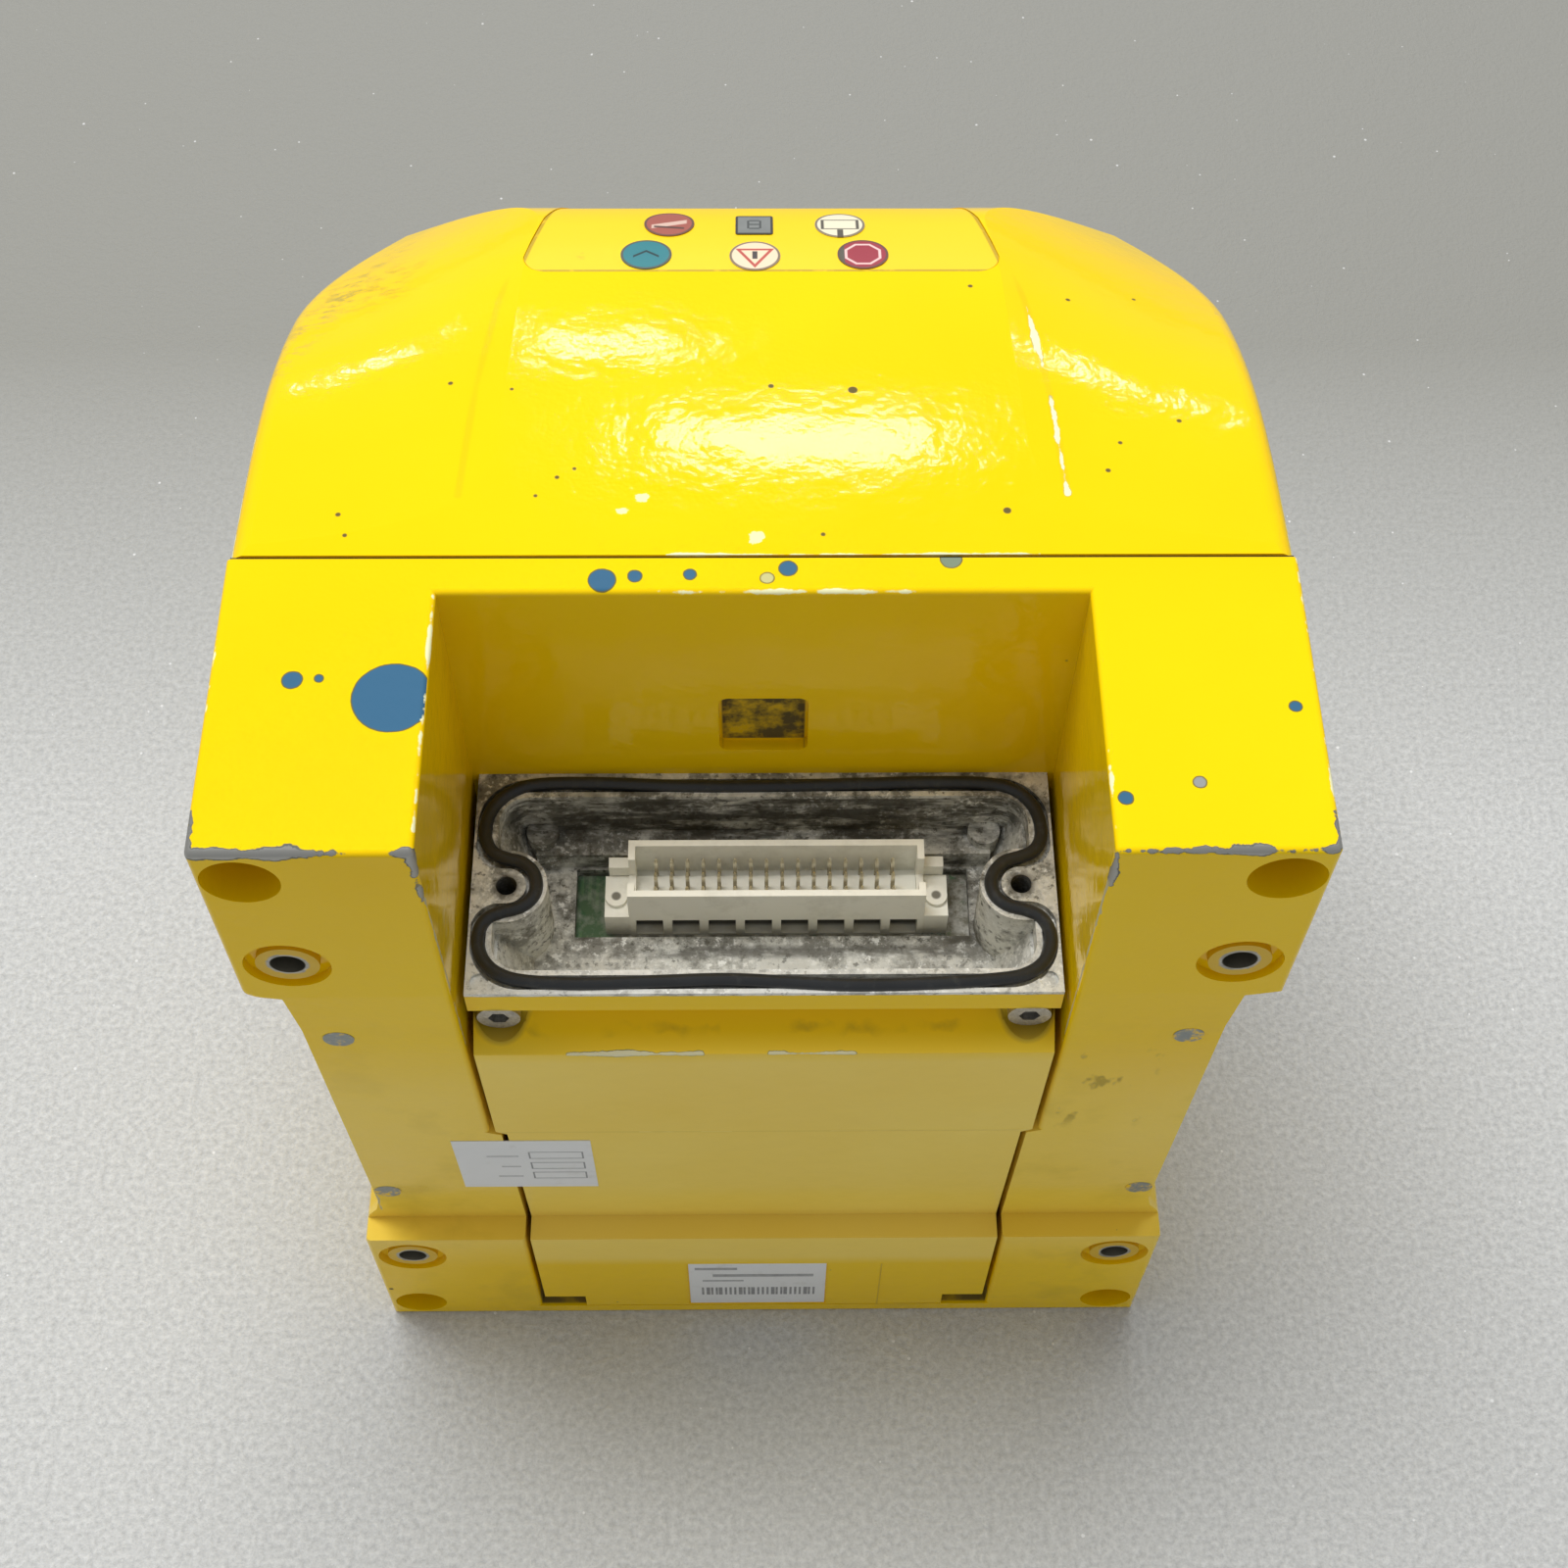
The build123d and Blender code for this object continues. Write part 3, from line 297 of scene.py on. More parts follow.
# %% [markdown]
# ## Yellow powder coat
#
# The castings have a thick yellow coat over a blue-grey primer. It is semi-gloss, with a slight
# orange peel that breaks up the reflection of the lamps. Years of use left round spots where
# only primer is left, dark pinholes, pale chips along the edges and bare metal at the corners.
# The coat is a base that all three castings share. Each then adds its own marks,
# because a mark sits at one place on one casting. A spot is a distance from a point and
# a chipped edge a distance from a line. Noise makes both ragged.

# %% Coat
coat_bright = (0.950, 0.650, 0.002)
coat_deep = (0.920, 0.595, 0.001)
primer = (0.045, 0.135, 0.235)
metal = (0.400, 0.395, 0.370)
chip_pale = (0.900, 0.880, 0.520)
grime = (0.090, 0.070, 0.020)
pinhole_dark = (0.030, 0.030, 0.020)
dust_dark = (0.060, 0.050, 0.010)
rim_dark = (0.160, 0.130, 0.030)
# The pale colour below is laid on the arms and the panel as a painted sheen, a painted reflection.
painted_sheen = (1.000, 0.840, 0.320)
caked_dirt = (0.130, 0.100, 0.040)
top = cad_box[1][2] * 1000.0


class Coat(Finish):
    """Yellow coat with its layers of wear."""

    def __init__(self, name):
        super().__init__(name, IOR=1.5, Specular_IOR_Level=0.15)
        tone = self.noise(70.0, 3.0)
        self.paint = self.mix(tone.ramp(0.3, 0.7), coat_deep, coat_bright)
        self.ragged = self.noise(2.2, 3.0, 0.65)
        self.rough = 0.05 + self.noise(14.0, 3.0) * 0.06
        self.bare = None
        self.lay(self.specks(15.0, 0.36, 0.30) * 0.9, pinhole_dark, 0.6)
        self.lay(self.specks(6.0, 0.16, 0.22) * 0.75, dust_dark, 0.6)

    def lay(self, mask, over, rough=0.5):
        """Lays a layer over what is there."""
        self.paint = self.mix(mask, self.paint, over)
        self.rough = self.rough + (rough - self.rough) * mask

    def chip(self, lines, wide, over, rough=0.5, ragged=1.0, metallic=False):
        """Ragged wear along edges. Each line is two points in millimetres."""
        reach = reduce(Flow.least, [self.from_line(*line) for line in lines])
        broken = self.noise(9.0, 3.0, 0.6)
        edge = (broken * 3.2 - 1.15) * wide + (self.ragged - 0.5) * ragged
        mask = (edge - reach).over(0.0, 0.12)
        self.lay(mask, over, rough)
        if metallic:
            self.bare = mask

    def spot(self, x, depth, radius, over=primer):
        """A flat disc on the top where the coat is missing, with a dark rim."""
        reach = self.from_point((x, depth, top)) + (self.ragged - 0.5) * 0.35
        there = self.z.over(top - 0.4, 0.02)
        self.lay(reach.under(radius + 0.18, 0.12) * there, rim_dark, 0.6)
        self.lay(reach.under(radius, 0.12) * there, over, 0.42)

    def close(self):
        """Adds the orange peel and feeds the shader."""
        peel = self.noise(5.2, 3.0, 0.6) + self.noise(24.0, 2.0) * 2.2
        self.relief(peel + self.noise(0.8, 2.0) * 0.1, 0.11)
        self.put(Base_Color=self.paint, Roughness=self.rough)
        if self.bare:
            self.put(Metallic=self.bare * 0.75)


tell(Coat)

# %% [markdown]
# ### Marks on the rear housing
#
# The blue discs on the shoulders are flat places where the coat flaked off in one piece.
# The largest is cut by the edge of the plug recess. The rear edges of the shoulders are
# rubbed down to bare metal, and the recess has pale chips along its sides and front.

# %% Rear housing
housing = Coat("coat_housing")
spots = (
    (-51.6, 25.1, 5.6), (-23.2, 45.3, 1.9), (-18.5, 46.0, 0.95), (-10.6, 46.3, 0.85),
    (3.5, 47.3, 1.25), (-65.8, 28.1, 1.35), (-62.1, 28.4, 0.55), (48.9, 8.4, 0.95),
    (73.8, 23.2, 0.8),
)
# Painted sheen: the lower rear faces of the arms are lighter, a painted reflection.
arms_painted_sheen = housing.z.ramp(125.0, 100.0) * housing.z.ramp(26.0, 40.0)
arms_painted_sheen = arms_painted_sheen * housing.depth.under(6.0, 1.0) * (0.15 + housing.noise(30.0, 3.0) * 0.22)
housing.lay(arms_painted_sheen, painted_sheen, 0.5)
scuff = abs(housing.x - 54.0).under(9.0, 2.0) * abs(housing.z - 104.0).under(15.0, 6.0)
scratch = housing.noise(5.0, 3.0, 0.7, (1.0, 1.0, 0.45)).ramp(0.60, 0.66)
housing.lay(scuff * scratch * 0.55, (0.22, 0.17, 0.02), 0.6)
pocket = abs(housing.x).under(6.5, 0.3) * abs(housing.z - 150.3).under(6.9, 0.3)
pocket = pocket * housing.depth.over(43.2, 0.4)
pocket_dirt = housing.noise(4.0, 4.0, 0.65).ramp(0.34, 0.56, 0.30, 0.94)
housing.lay(pocket * pocket_dirt, (0.055, 0.048, 0.030), 0.7)
soil = housing.z.ramp(150.0, 90.0) * housing.noise(18.0, 4.0, 0.6).ramp(0.52, 0.75)
housing.lay(soil * 0.30, (0.40, 0.28, 0.01), 0.6)
foot_notch = abs(abs(housing.x) - 40.5).under(6.5, 0.8) * abs(housing.z - 5.5).under(3.6, 0.5)
foot_notch = foot_notch * housing.depth.over(0.6, 0.4) * housing.depth.under(10.0, 1.0)
housing.lay(foot_notch * housing.noise(3.0, 3.0).ramp(0.25, 0.5, 0.5, 0.9), caked_dirt, 0.7)
for x, depth, radius in spots:
    housing.spot(x, depth, radius)
housing.spot(59.2, 10.9, 0.85, (0.30, 0.31, 0.30))
housing.spot(0.5, 45.6, 0.9, (0.55, 0.52, 0.22))
housing.spot(27.1, 48.9, 1.5, (0.20, 0.25, 0.17))
outer = cad_box[1][0] * 1000.0
recess = 46.9
pale_lines = (
    ((-recess, 4.0, top), (-recess, 43.0, top)),
    ((-16.0, 43.1, top), (24.0, 43.1, top)),
    ((recess, 4.0, top), (recess, 24.0, top)),
    ((-outer, 20.0, top), (-outer, 49.0, top)),
    ((outer, 2.0, top), (outer, 49.0, top)),
)
housing.chip(pale_lines, 0.62, chip_pale)
bare_lines = (
    ((-outer, 0.0, top), (-47.0, 0.0, top)),
    ((47.0, 0.0, top), (outer, 0.0, top)),
    ((-recess, 0.0, top), (-recess, 0.0, 172.0)),
    ((recess, 0.0, top), (recess, 0.0, 176.0)),
    ((-outer, 0.0, top), (-outer, 7.0, top)),
    ((outer, 0.0, top), (outer, 6.0, top)),
)
housing.chip(bare_lines, 1.45, (0.12, 0.13, 0.12), 0.5, 1.5)
housing.chip(bare_lines, 1.15, metal, 0.42, 1.5, metallic=True)
arm_lines = (
    ((-recess, 0.5, 172.0), (-recess, 2.0, 122.0)),
    ((recess, 0.5, 176.0), (recess, 2.0, 122.0)),
    ((-74.4, 0.0, 2.0), (-74.4, 0.0, 40.0)),
    ((74.4, 0.0, 2.0), (74.4, 0.0, 40.0)),
    ((-71.0, 3.9, 100.0), (-71.0, 4.4, 45.0)),
)
housing.chip(arm_lines, 0.50, (0.55, 0.50, 0.30), 0.5, 0.9)
housing.close()
dress(housing, "rear_housing")

# %% [markdown]
# ### Marks on the head
#
# The head has a raised middle panel. Painted shade draws a faint dark line along both creases,
# and the right crease carries a pale ragged sliver along its whole length. The front left corner
# carries a patch of dirt in fine scratches.

# %% Head cover
head = Coat("coat_head")
crease = (
    ((44.9, 61.0, 184.6), (43.9, 84.0, 183.1)),
    ((43.9, 84.0, 183.1), (41.9, 105.3, 179.2)),
)
bends = (*crease, ((41.9, 105.3, 179.2), (39.2, 117.0, 175.5)))
# Painted shade: a faint dark line along both creases, where the surface bends.
for side in (-1, 1):
    bend = reduce(Flow.least, [
        head.from_line((side * x0, depth0, z0), (side * x1, depth1, z1))
        for (x0, depth0, z0), (x1, depth1, z1) in bends
    ])
    head.lay(bend.under(0.55, 0.5) * 0.38, (0.70, 0.46, 0.001), 0.4)
# A pale ragged sliver along the right crease, with a darker border.
head.chip(crease, 0.85, (0.30, 0.27, 0.06), 0.5, 0.9)
head.chip(crease, 0.74, chip_pale, 0.45, 0.9)
head_edges = (
    ((-14.0, 49.8, top), (40.0, 49.8, top)),
    ((-77.3, 49.8, 183.5), (-77.0, 76.0, 180.0)),
    ((77.3, 49.8, 183.5), (77.0, 70.0, 181.0)),
)
head.chip(head_edges, 0.42, chip_pale, 0.5, 0.9)
head_specks = (
    (13.8, 82.7, 0.75), (1.3, 83.6, 0.45), (35.8, 57.9, 0.6), (-47.9, 85.1, 0.4),
    (-38.3, 83.0, 0.3), (49.3, 107.3, 0.4), (33.4, 108.0, 0.4), (60.9, 111.5, 0.35),
    (63.4, 77.2, 0.4), (53.8, 71.9, 0.35), (51.4, 66.0, 0.4), (-30.5, 64.5, 0.35),
    (-33.5, 60.9, 0.3), (-28.0, 66.2, 0.3), (8.7, 53.5, 0.35), (-62.2, 57.6, 0.4),
    (-60.8, 53.5, 0.35),
)
for x, depth, radius in head_specks:
    head.lay(head.from_mark(x, depth).under(radius, 0.2) * 0.9, (0.05, 0.05, 0.035), 0.6)
for x, depth, radius in ((-1.0, 53.0, 1.1), (-17.8, 60.5, 0.8), (-20.5, 58.0, 0.6)):
    ragged_reach = head.from_mark(x, depth) + (head.ragged - 0.5) * 2.4
    head.lay(ragged_reach.under(radius, 0.2) * 0.8, chip_pale, 0.5)
corner = head.from_point((-66.0, 118.0, 168.0)) + head.noise(14.0, 3.0) * 14.0
scratches = head.noise(3.2, 4.0, 0.75, (1.0, 2.2, 1.0)).ramp(0.50, 0.62)
head.lay(corner.under(15.0, 9.0) * scratches * 0.5, (0.25, 0.19, 0.03), 0.6)
left_front = head.from_line((-77.3, 92.0, 176.0), (-60.0, 148.0, 158.0))
head.lay(left_front.under(3.0, 4.0) * scratches * 0.6, (0.35, 0.30, 0.10), 0.6)
head.close()
dress(head, "head_cover")

# %% [markdown]
# ### Plug module
#
# The module is the same casting alloy. It is painted behind and on its lip, with chips on
# the ledge, a dark ring round the screws, soil in the notches, and a painted sheen on the panel.
# The deck and the basin are bare, because the gasket seals on them.

# %% Module
module = Coat("coat_module")
ledge_depth, ledge_z = 1.04, 119.8
ledge_chips = (
    ((-31.0, ledge_depth, ledge_z), (-10.0, ledge_depth, ledge_z)),
    ((1.0, ledge_depth, ledge_z), (14.0, ledge_depth, ledge_z)),
)
module.chip(ledge_chips, 0.95, (0.12, 0.12, 0.04), 0.5, 0.8)
module.chip(ledge_chips, 0.75, (0.80, 0.78, 0.55), 0.5, 0.8)
screw_low, screw_high = measured("module_screws_upper")
screw_radius = 3.4
screw_x = screw_high.x - screw_radius
screw_z = (screw_low.z + screw_high.z) / 2
# Darker round the screws, in their counterbores.
screw_dark_ring = reduce(Flow.least, [
    module.from_line((side * screw_x, 4.0, screw_z), (side * screw_x, 12.0, screw_z))
    for side in (-1, 1)
])
module.lay(screw_dark_ring.under(4.9, 1.2) * 0.85, (0.10, 0.08, 0.03), 0.7)
panel_notch = abs(abs(module.x) - 41.0).under(6.5, 0.6) * module.z.under(6.6, 0.8)
panel_notch = panel_notch * module.depth.over(1.2, 0.5)
module.lay(panel_notch * module.noise(3.0, 3.0).ramp(0.25, 0.5, 0.5, 0.9), caked_dirt, 0.7)
# Painted sheen: the panel is lighter between these heights, a painted reflection.
panel_painted_sheen = module.z.ramp(122.0, 116.0) * module.z.ramp(27.0, 31.0)
module.lay(panel_painted_sheen * (0.26 + module.noise(34.0, 3.0) * 0.26), painted_sheen, 0.5)
flange_line = abs(module.x - 22.6).under(0.16, 0.12) * module.z.under(27.0, 0.2)
module.lay(flange_line * module.depth.under(1.2, 0.2) * 0.55, (0.45, 0.30, 0.01), 0.5)
seat = module.z.over(85.0, 0.35) * module.z.under(85.6, 0.2)
module.lay(seat * 0.12, (0.35, 0.26, 0.01), 0.5)
smudge = module.from_line((-36.0, 4.3, 122.0), (30.0, 4.3, 122.6)) + module.noise(3.0, 3.0) * 4.0
smudge = smudge.under(2.6, 1.2) * module.noise(10.0, 3.0).ramp(0.45, 0.6)
module.lay(smudge * 0.35, grime, 0.7)

# %% [markdown]
# ### Bare metal on the module
#
# The bare alloy has gone dull: pale oxide in blotches, with dark soil in the low places and
# darker round the threaded holes. Painted shade darkens the floor toward the front wall, the
# front wall itself and the rim of the well, and painted light brightens the near part of the floor.
# The border of the coat runs along the rim of the deck, where the paint was masked.

# %% Bare deck
deck = (module.z + module.noise(3.0, 2.0) * 0.4).over(135.4, 0.15)
inside = module.z.over(119.0, 0.1) * module.depth.over(7.66, 0.02)
groove = module.z.over(131.0, 0.1) * module.depth.over(3.95, 0.1)
bare_deck = deck.most(inside).most(groove)
blotch = module.noise(8.0, 5.0, 0.68)
fine = module.noise(1.4, 3.0, 0.7)
low_soil = module.noise(17.0, 4.0, 0.6).ramp(0.44, 0.64)
streak = module.noise(4.0, 4.0, 0.7, (0.35, 1.0, 1.6)).ramp(0.40, 0.55)
# Painted shade on the front wall of the basin and along the rim of the well.
front_wall_shade = module.depth.over(36.0, 3.0) * module.z.under(135.2, 0.4)
well = (abs(module.x - 2.0) / 29.5).most(abs(module.depth - 28.0) / 9.8)
well_rim_shade = abs(well - 1.0).under(0.10, 0.10) * module.z.under(124.0, 1.0)
plug_hole = module.from_mark(40.3, 22.5).least(module.from_mark(-40.3, 22.5))
pits = module.specks(3.2, 0.22, 0.5, 0.15)
deepest = (0.05, 0.045, 0.035)
oxide = module.mix(blotch.ramp(0.44, 0.56), (0.26, 0.255, 0.225), (0.78, 0.78, 0.73))
for mask, over in (
    (fine.ramp(0.54, 0.66), (0.90, 0.90, 0.86)),
    (fine.ramp(0.44, 0.34) * 0.8, (0.10, 0.095, 0.075)),
    # Soil in blotches; its rise toward the front wall is painted shade.
    (low_soil * module.depth.ramp(28.0, 40.0, 0.25, 1.0) * 0.80, (0.075, 0.070, 0.052)),
    # Painted shade on the front wall, broken by streaks.
    (front_wall_shade * module.z.over(124.0, 2.0) * streak * 0.85, (0.060, 0.056, 0.042)),
    # Painted shade along the rim of the well.
    (well_rim_shade * streak * 0.8, (0.07, 0.065, 0.05)),
    (plug_hole.under(2.2, 1.2) * 0.8, deepest),
    # Painted light: the near part of the floor is lighter.
    (module.depth.ramp(20.0, 12.0) * 0.35, (0.84, 0.84, 0.79)),
    (pits * 0.7, deepest),
):
    oxide = module.mix(mask, oxide, over)
module.lay(bare_deck, oxide, 0.62)
shine = bare_deck * (blotch.ramp(0.40, 0.60) * 0.35 + 0.1)
peel = module.noise(4.2, 2.0, 0.4) + module.noise(0.8, 2.0) * 0.12
cast = blotch * 1.2 + fine * 1.6 - pits
module.relief(peel + (cast - peel) * bare_deck, 0.12, 0.8)
module.put(Base_Color=module.paint, Roughness=module.rough, Metallic=shine)
dress(module, "io_module")

# %% [markdown]
# ## Gasket cord
#
# A black rubber cord lies in a groove round the basin and steps inward round the two
# threaded bosses. It isn't quite regular: the long sides bow by about a millimetre.
# The path is a short list of points, x and depth, read as a closed smooth line.
# A sweep is the natural way, because a cord is one section that follows one path.

# %% Cord path
basin_path = (
    (0.0, 40.55), (15.0, 40.9), (27.0, 41.2), (36.0, 40.9), (40.4, 39.6), (43.0, 36.8),
    (44.0, 33.6), (43.9, 30.6), (42.6, 28.4), (40.4, 27.3), (38.0, 26.5), (36.2, 24.6),
    (35.6, 22.4), (36.2, 20.2), (38.0, 18.6), (40.6, 17.8), (42.8, 16.7), (44.1, 14.4),
    (44.2, 11.6), (43.0, 8.8), (40.6, 6.9), (36.8, 5.9), (27.0, 5.2), (14.0, 4.9),
    (4.0, 5.4), (-6.0, 5.9), (-17.0, 5.6), (-28.0, 5.3), (-36.6, 5.8), (-40.6, 7.0),
    (-43.0, 9.2), (-44.1, 12.0), (-44.0, 14.8), (-42.8, 16.8), (-40.6, 17.8), (-38.0, 18.6),
    (-36.2, 20.2), (-35.6, 22.4), (-36.2, 24.8), (-38.0, 26.6), (-40.4, 27.3), (-42.6, 28.4),
    (-43.9, 30.6), (-44.1, 33.6), (-43.0, 36.9), (-40.2, 39.7), (-35.6, 41.1), (-26.0, 41.2),
    (-13.0, 40.6),
)
around = sum(math.dist(a, b) for a, b in zip(basin_path, (*basin_path[1:], basin_path[0])))
print(len(basin_path), "points,", round(around), "mm round the basin")

# %% [markdown]
# ### Growing a shape
#
# Geometry Nodes hold the cord's sweep and the grid of pins, so that radius, step, pitch and
# count stay inputs. The tree is run once, and what it makes becomes a plain mesh.

# %% Trees
def new_tree(name, inputs):
    """A Geometry Nodes tree with one geometry in and out, and named inputs."""
    tree = bpy.data.node_groups.new(name, "GeometryNodeTree")
    tree.interface.new_socket("Geometry", in_out="INPUT", socket_type="NodeSocketGeometry")
    for label, (kind, value) in inputs.items():
        socket = tree.interface.new_socket(label, in_out="INPUT", socket_type="NodeSocket" + kind)
        if value is not None:
            socket.default_value = value
    tree.interface.new_socket("Geometry", in_out="OUTPUT", socket_type="NodeSocketGeometry")
    entry = tree.nodes.new("NodeGroupInput")
    leave = tree.nodes.new("NodeGroupOutput")
    return tree, entry, leave


def wire(tree, value, socket):
    """A socket gets a value, or the output that feeds it."""
    if isinstance(value, bpy.types.NodeSocket):
        tree.links.new(value, socket)
    else:
        socket.default_value = value


def geo(tree, kind, settings=None, **sockets):
    """One node of a tree, with its settings and what goes into its sockets."""
    made = tree.nodes.new(kind)
    for name, value in (settings or {}).items():
        setattr(made, name, value)
    for name, value in sockets.items():
        wire(tree, value, made.inputs[name.replace("_", " ")])
    return made


def finish_tree(tree, entry, leave, last):
    """Turns copies into real mesh, gives it the finish and ends the tree."""
    real = geo(tree, "GeometryNodeRealizeInstances", Geometry=last.outputs[0])
    painted = geo(tree, "GeometryNodeSetMaterial", Geometry=real.outputs[0])
    wire(tree, entry.outputs["Finish"], painted.inputs["Material"])
    wire(tree, painted.outputs[0], leave.inputs[0])
    print(tree.name, "has", len(tree.nodes), "nodes")


def grown(name, tree, values, start=None):
    """Runs a tree on a mesh and returns the result as a plain object at the origin."""
    mesh = start or bpy.data.meshes.new(name + "_start")
    seed = bpy.data.objects.new(name + "_seed", mesh)
    bpy.context.scene.collection.objects.link(seed)
    modifier = seed.modifiers.new("grow", "NODES")
    modifier.node_group = tree
    for item in tree.interface.items_tree:
        if item.in_out == "INPUT" and item.name in values:
            modifier[item.identifier] = values[item.name]
    bpy.context.view_layer.update()
    graph = bpy.context.evaluated_depsgraph_get()
    result = bpy.data.meshes.new_from_object(seed.evaluated_get(graph))
    bpy.data.objects.remove(seed)
    made = bpy.data.objects.new(name, result)
    bpy.context.scene.collection.objects.link(made)
    print(name, len(result.polygons), "faces")
    return made


# %% [markdown]
# ### Rubber
#
# The cord is black and a little glossy, with chalky traces of dust. The cord in the seam of
# the head and the seal of the window are duller and dustier.

# %% Rubber
rubber = Finish("gasket_rubber", IOR=1.5)
chalk = rubber.noise(2.5, 4.0, 0.7).ramp(0.56, 0.74)
rubber_tone = rubber.mix(rubber.noise(9.0, 2.0), (0.010, 0.011, 0.012), (0.024, 0.026, 0.028))
rubber_tone = rubber.mix(chalk * 0.15, rubber_tone, (0.20, 0.20, 0.18))
rubber.put(Base_Color=rubber_tone, Roughness=0.34 + chalk * 0.3 + rubber.noise(5.0) * 0.1)
rubber.relief(rubber.noise(0.9, 3.0), 0.05)

seal_rubber = Finish("seam_rubber", IOR=1.5)
seal_tones = (0.014, 0.014, 0.013), (0.045, 0.043, 0.036)
seal_rubber.put(
    Base_Color=seal_rubber.mix(seal_rubber.noise(4.0, 3.0), *seal_tones),
    Roughness=0.55 + seal_rubber.noise(3.0) * 0.2,
)
dress(seal_rubber, "head_seal", "window_seal")

# %% [markdown]
# ### Sweeping the cord
#
# The points are joined in a closed loop, smoothed and cut into even steps. A circle then
# follows the line, and the cord takes the place of the plain one in the CAD model.

# %% Sweep the cord
sweep_tree, entry, leave = new_tree("swept_cord", {
    "Radius": ("Float", 0.0012),
    "Step": ("Float", 0.0006),
    "Sides": ("Int", 16),
    "Finish": ("Material", None),
})
given = entry.outputs
line = geo(sweep_tree, "GeometryNodeMeshToCurve", Mesh=given["Geometry"])
catmull = {"spline_type": "CATMULL_ROM"}
smooth = geo(sweep_tree, "GeometryNodeCurveSplineType", catmull, Curve=line.outputs[0])
evenly = geo(sweep_tree, "GeometryNodeResampleCurve", {"mode": "LENGTH"}, Curve=smooth.outputs[0])
wire(sweep_tree, given["Step"], evenly.inputs["Length"])
circle = geo(sweep_tree, "GeometryNodeCurvePrimitiveCircle", Resolution=given["Sides"])
wire(sweep_tree, given["Radius"], circle.inputs["Radius"])
swept = geo(sweep_tree, "GeometryNodeCurveToMesh", Curve=evenly.outputs[0])
wire(sweep_tree, circle.outputs[0], swept.inputs["Profile Curve"])
rounded = geo(sweep_tree, "GeometryNodeSetShadeSmooth", Geometry=swept.outputs[0])
finish_tree(sweep_tree, entry, leave, rounded)

cord_level, cord_radius = 136.05, 0.00108
cord_mesh = bpy.data.meshes.new("cord_path")
points = [(x * 0.001, (depth - rear) * 0.001, cord_level * 0.001) for x, depth in basin_path]
links = [(i, (i + 1) % len(points)) for i in range(len(points))]
cord_mesh.from_pydata(points, links, [])
cord_values = {"Finish": rubber.material, "Radius": cord_radius}
cord = grown("gasket_cord", sweep_tree, cord_values, cord_mesh)
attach(cord, "scanner")
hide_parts("deck_gasket")

# %% [markdown]
# ## Contact pins
#
# The socket has three rows of sixteen gold-plated pins on a pitch of 2.54 mm.
# Each is a square wire with a tapered tip. The plating is worn in patches, and the feet
# of the pins stand in shade and dust.

# %% Plating
plating = Finish("pin_plating", Metallic=0.9)
worn = plating.noise(1.6, 3.0).ramp(0.45, 0.7)
plated = plating.mix(worn, (0.95, 0.90, 0.76), (0.74, 0.68, 0.52))
plating.put(
    Base_Color=plating.mix(plating.z.ramp(129.2, 127.6), plated, (0.30, 0.26, 0.17)),
    Roughness=0.28 + worn * 0.25,
)
plating.relief(plating.noise(0.4, 2.0), 0.01)
print("pin plating made")

# %% [markdown]
# ### The grid
#
# The tree lays out a grid of points and puts one pin on each, as the real pins are pressed
# into a drilled board. Place and length are read off the CAD model's pins.

# %% Grid of pins
grid_tree, entry, leave = new_tree("pin_grid", {
    "Pitch": ("Float", 0.00254),
    "Columns": ("Int", 16),
    "Rows": ("Int", 3),
    "Side": ("Float", 0.0006),
    "Length": ("Float", 0.010),
    "Tip": ("Float", 0.0009),
    "Place": ("Vector", (0.0, 0.0, 0.0)),
    "Finish": ("Material", None),
})


def pin_maths(operation, first, second):
    made = geo(grid_tree, "ShaderNodeMath", {"operation": operation})
    for socket, value in zip(made.inputs, (first, second)):
        wire(grid_tree, value, socket)
    return made.outputs[0]


def combine(x, y, z):
    return geo(grid_tree, "ShaderNodeCombineXYZ", X=x, Y=y, Z=z).outputs[0]


given = entry.outputs
half_diagonal = math.sqrt(0.5)
tip_width = 0.25
wide = pin_maths("MULTIPLY", given["Pitch"], pin_maths("SUBTRACT", given["Columns"], 1))
tall = pin_maths("MULTIPLY", given["Pitch"], pin_maths("SUBTRACT", given["Rows"], 1))
grid = geo(grid_tree, "GeometryNodeMeshGrid", Size_X=wide, Size_Y=tall)
wire(grid_tree, given["Columns"], grid.inputs["Vertices X"])
wire(grid_tree, given["Rows"], grid.inputs["Vertices Y"])
straight = pin_maths("SUBTRACT", given["Length"], given["Tip"])
shank_size = combine(given["Side"], given["Side"], straight)
shank = geo(grid_tree, "GeometryNodeMeshCube", Size=shank_size)
shank_up = geo(grid_tree, "GeometryNodeTransform", Geometry=shank.outputs["Mesh"])
shank_lift = combine(0.0, 0.0, pin_maths("MULTIPLY", straight, 0.5))
wire(grid_tree, shank_lift, shank_up.inputs["Translation"])
point = geo(
    grid_tree, "GeometryNodeMeshCone", {"fill_type": "NGON"}, Vertices=4, Side_Segments=1,
    Radius_Bottom=pin_maths("MULTIPLY", given["Side"], half_diagonal),
    Radius_Top=pin_maths("MULTIPLY", given["Side"], tip_width), Depth=given["Tip"],
)
point_up = geo(grid_tree, "GeometryNodeTransform", Geometry=point.outputs["Mesh"])
wire(grid_tree, (0.0, 0.0, math.radians(45)), point_up.inputs["Rotation"])
wire(grid_tree, combine(0.0, 0.0, straight), point_up.inputs["Translation"])
joined = geo(grid_tree, "GeometryNodeJoinGeometry")
for half in (shank_up, point_up):
    wire(grid_tree, half.outputs[0], joined.inputs[0])
repeated = geo(grid_tree, "GeometryNodeInstanceOnPoints", Points=grid.outputs["Mesh"])
wire(grid_tree, joined.outputs[0], repeated.inputs["Instance"])
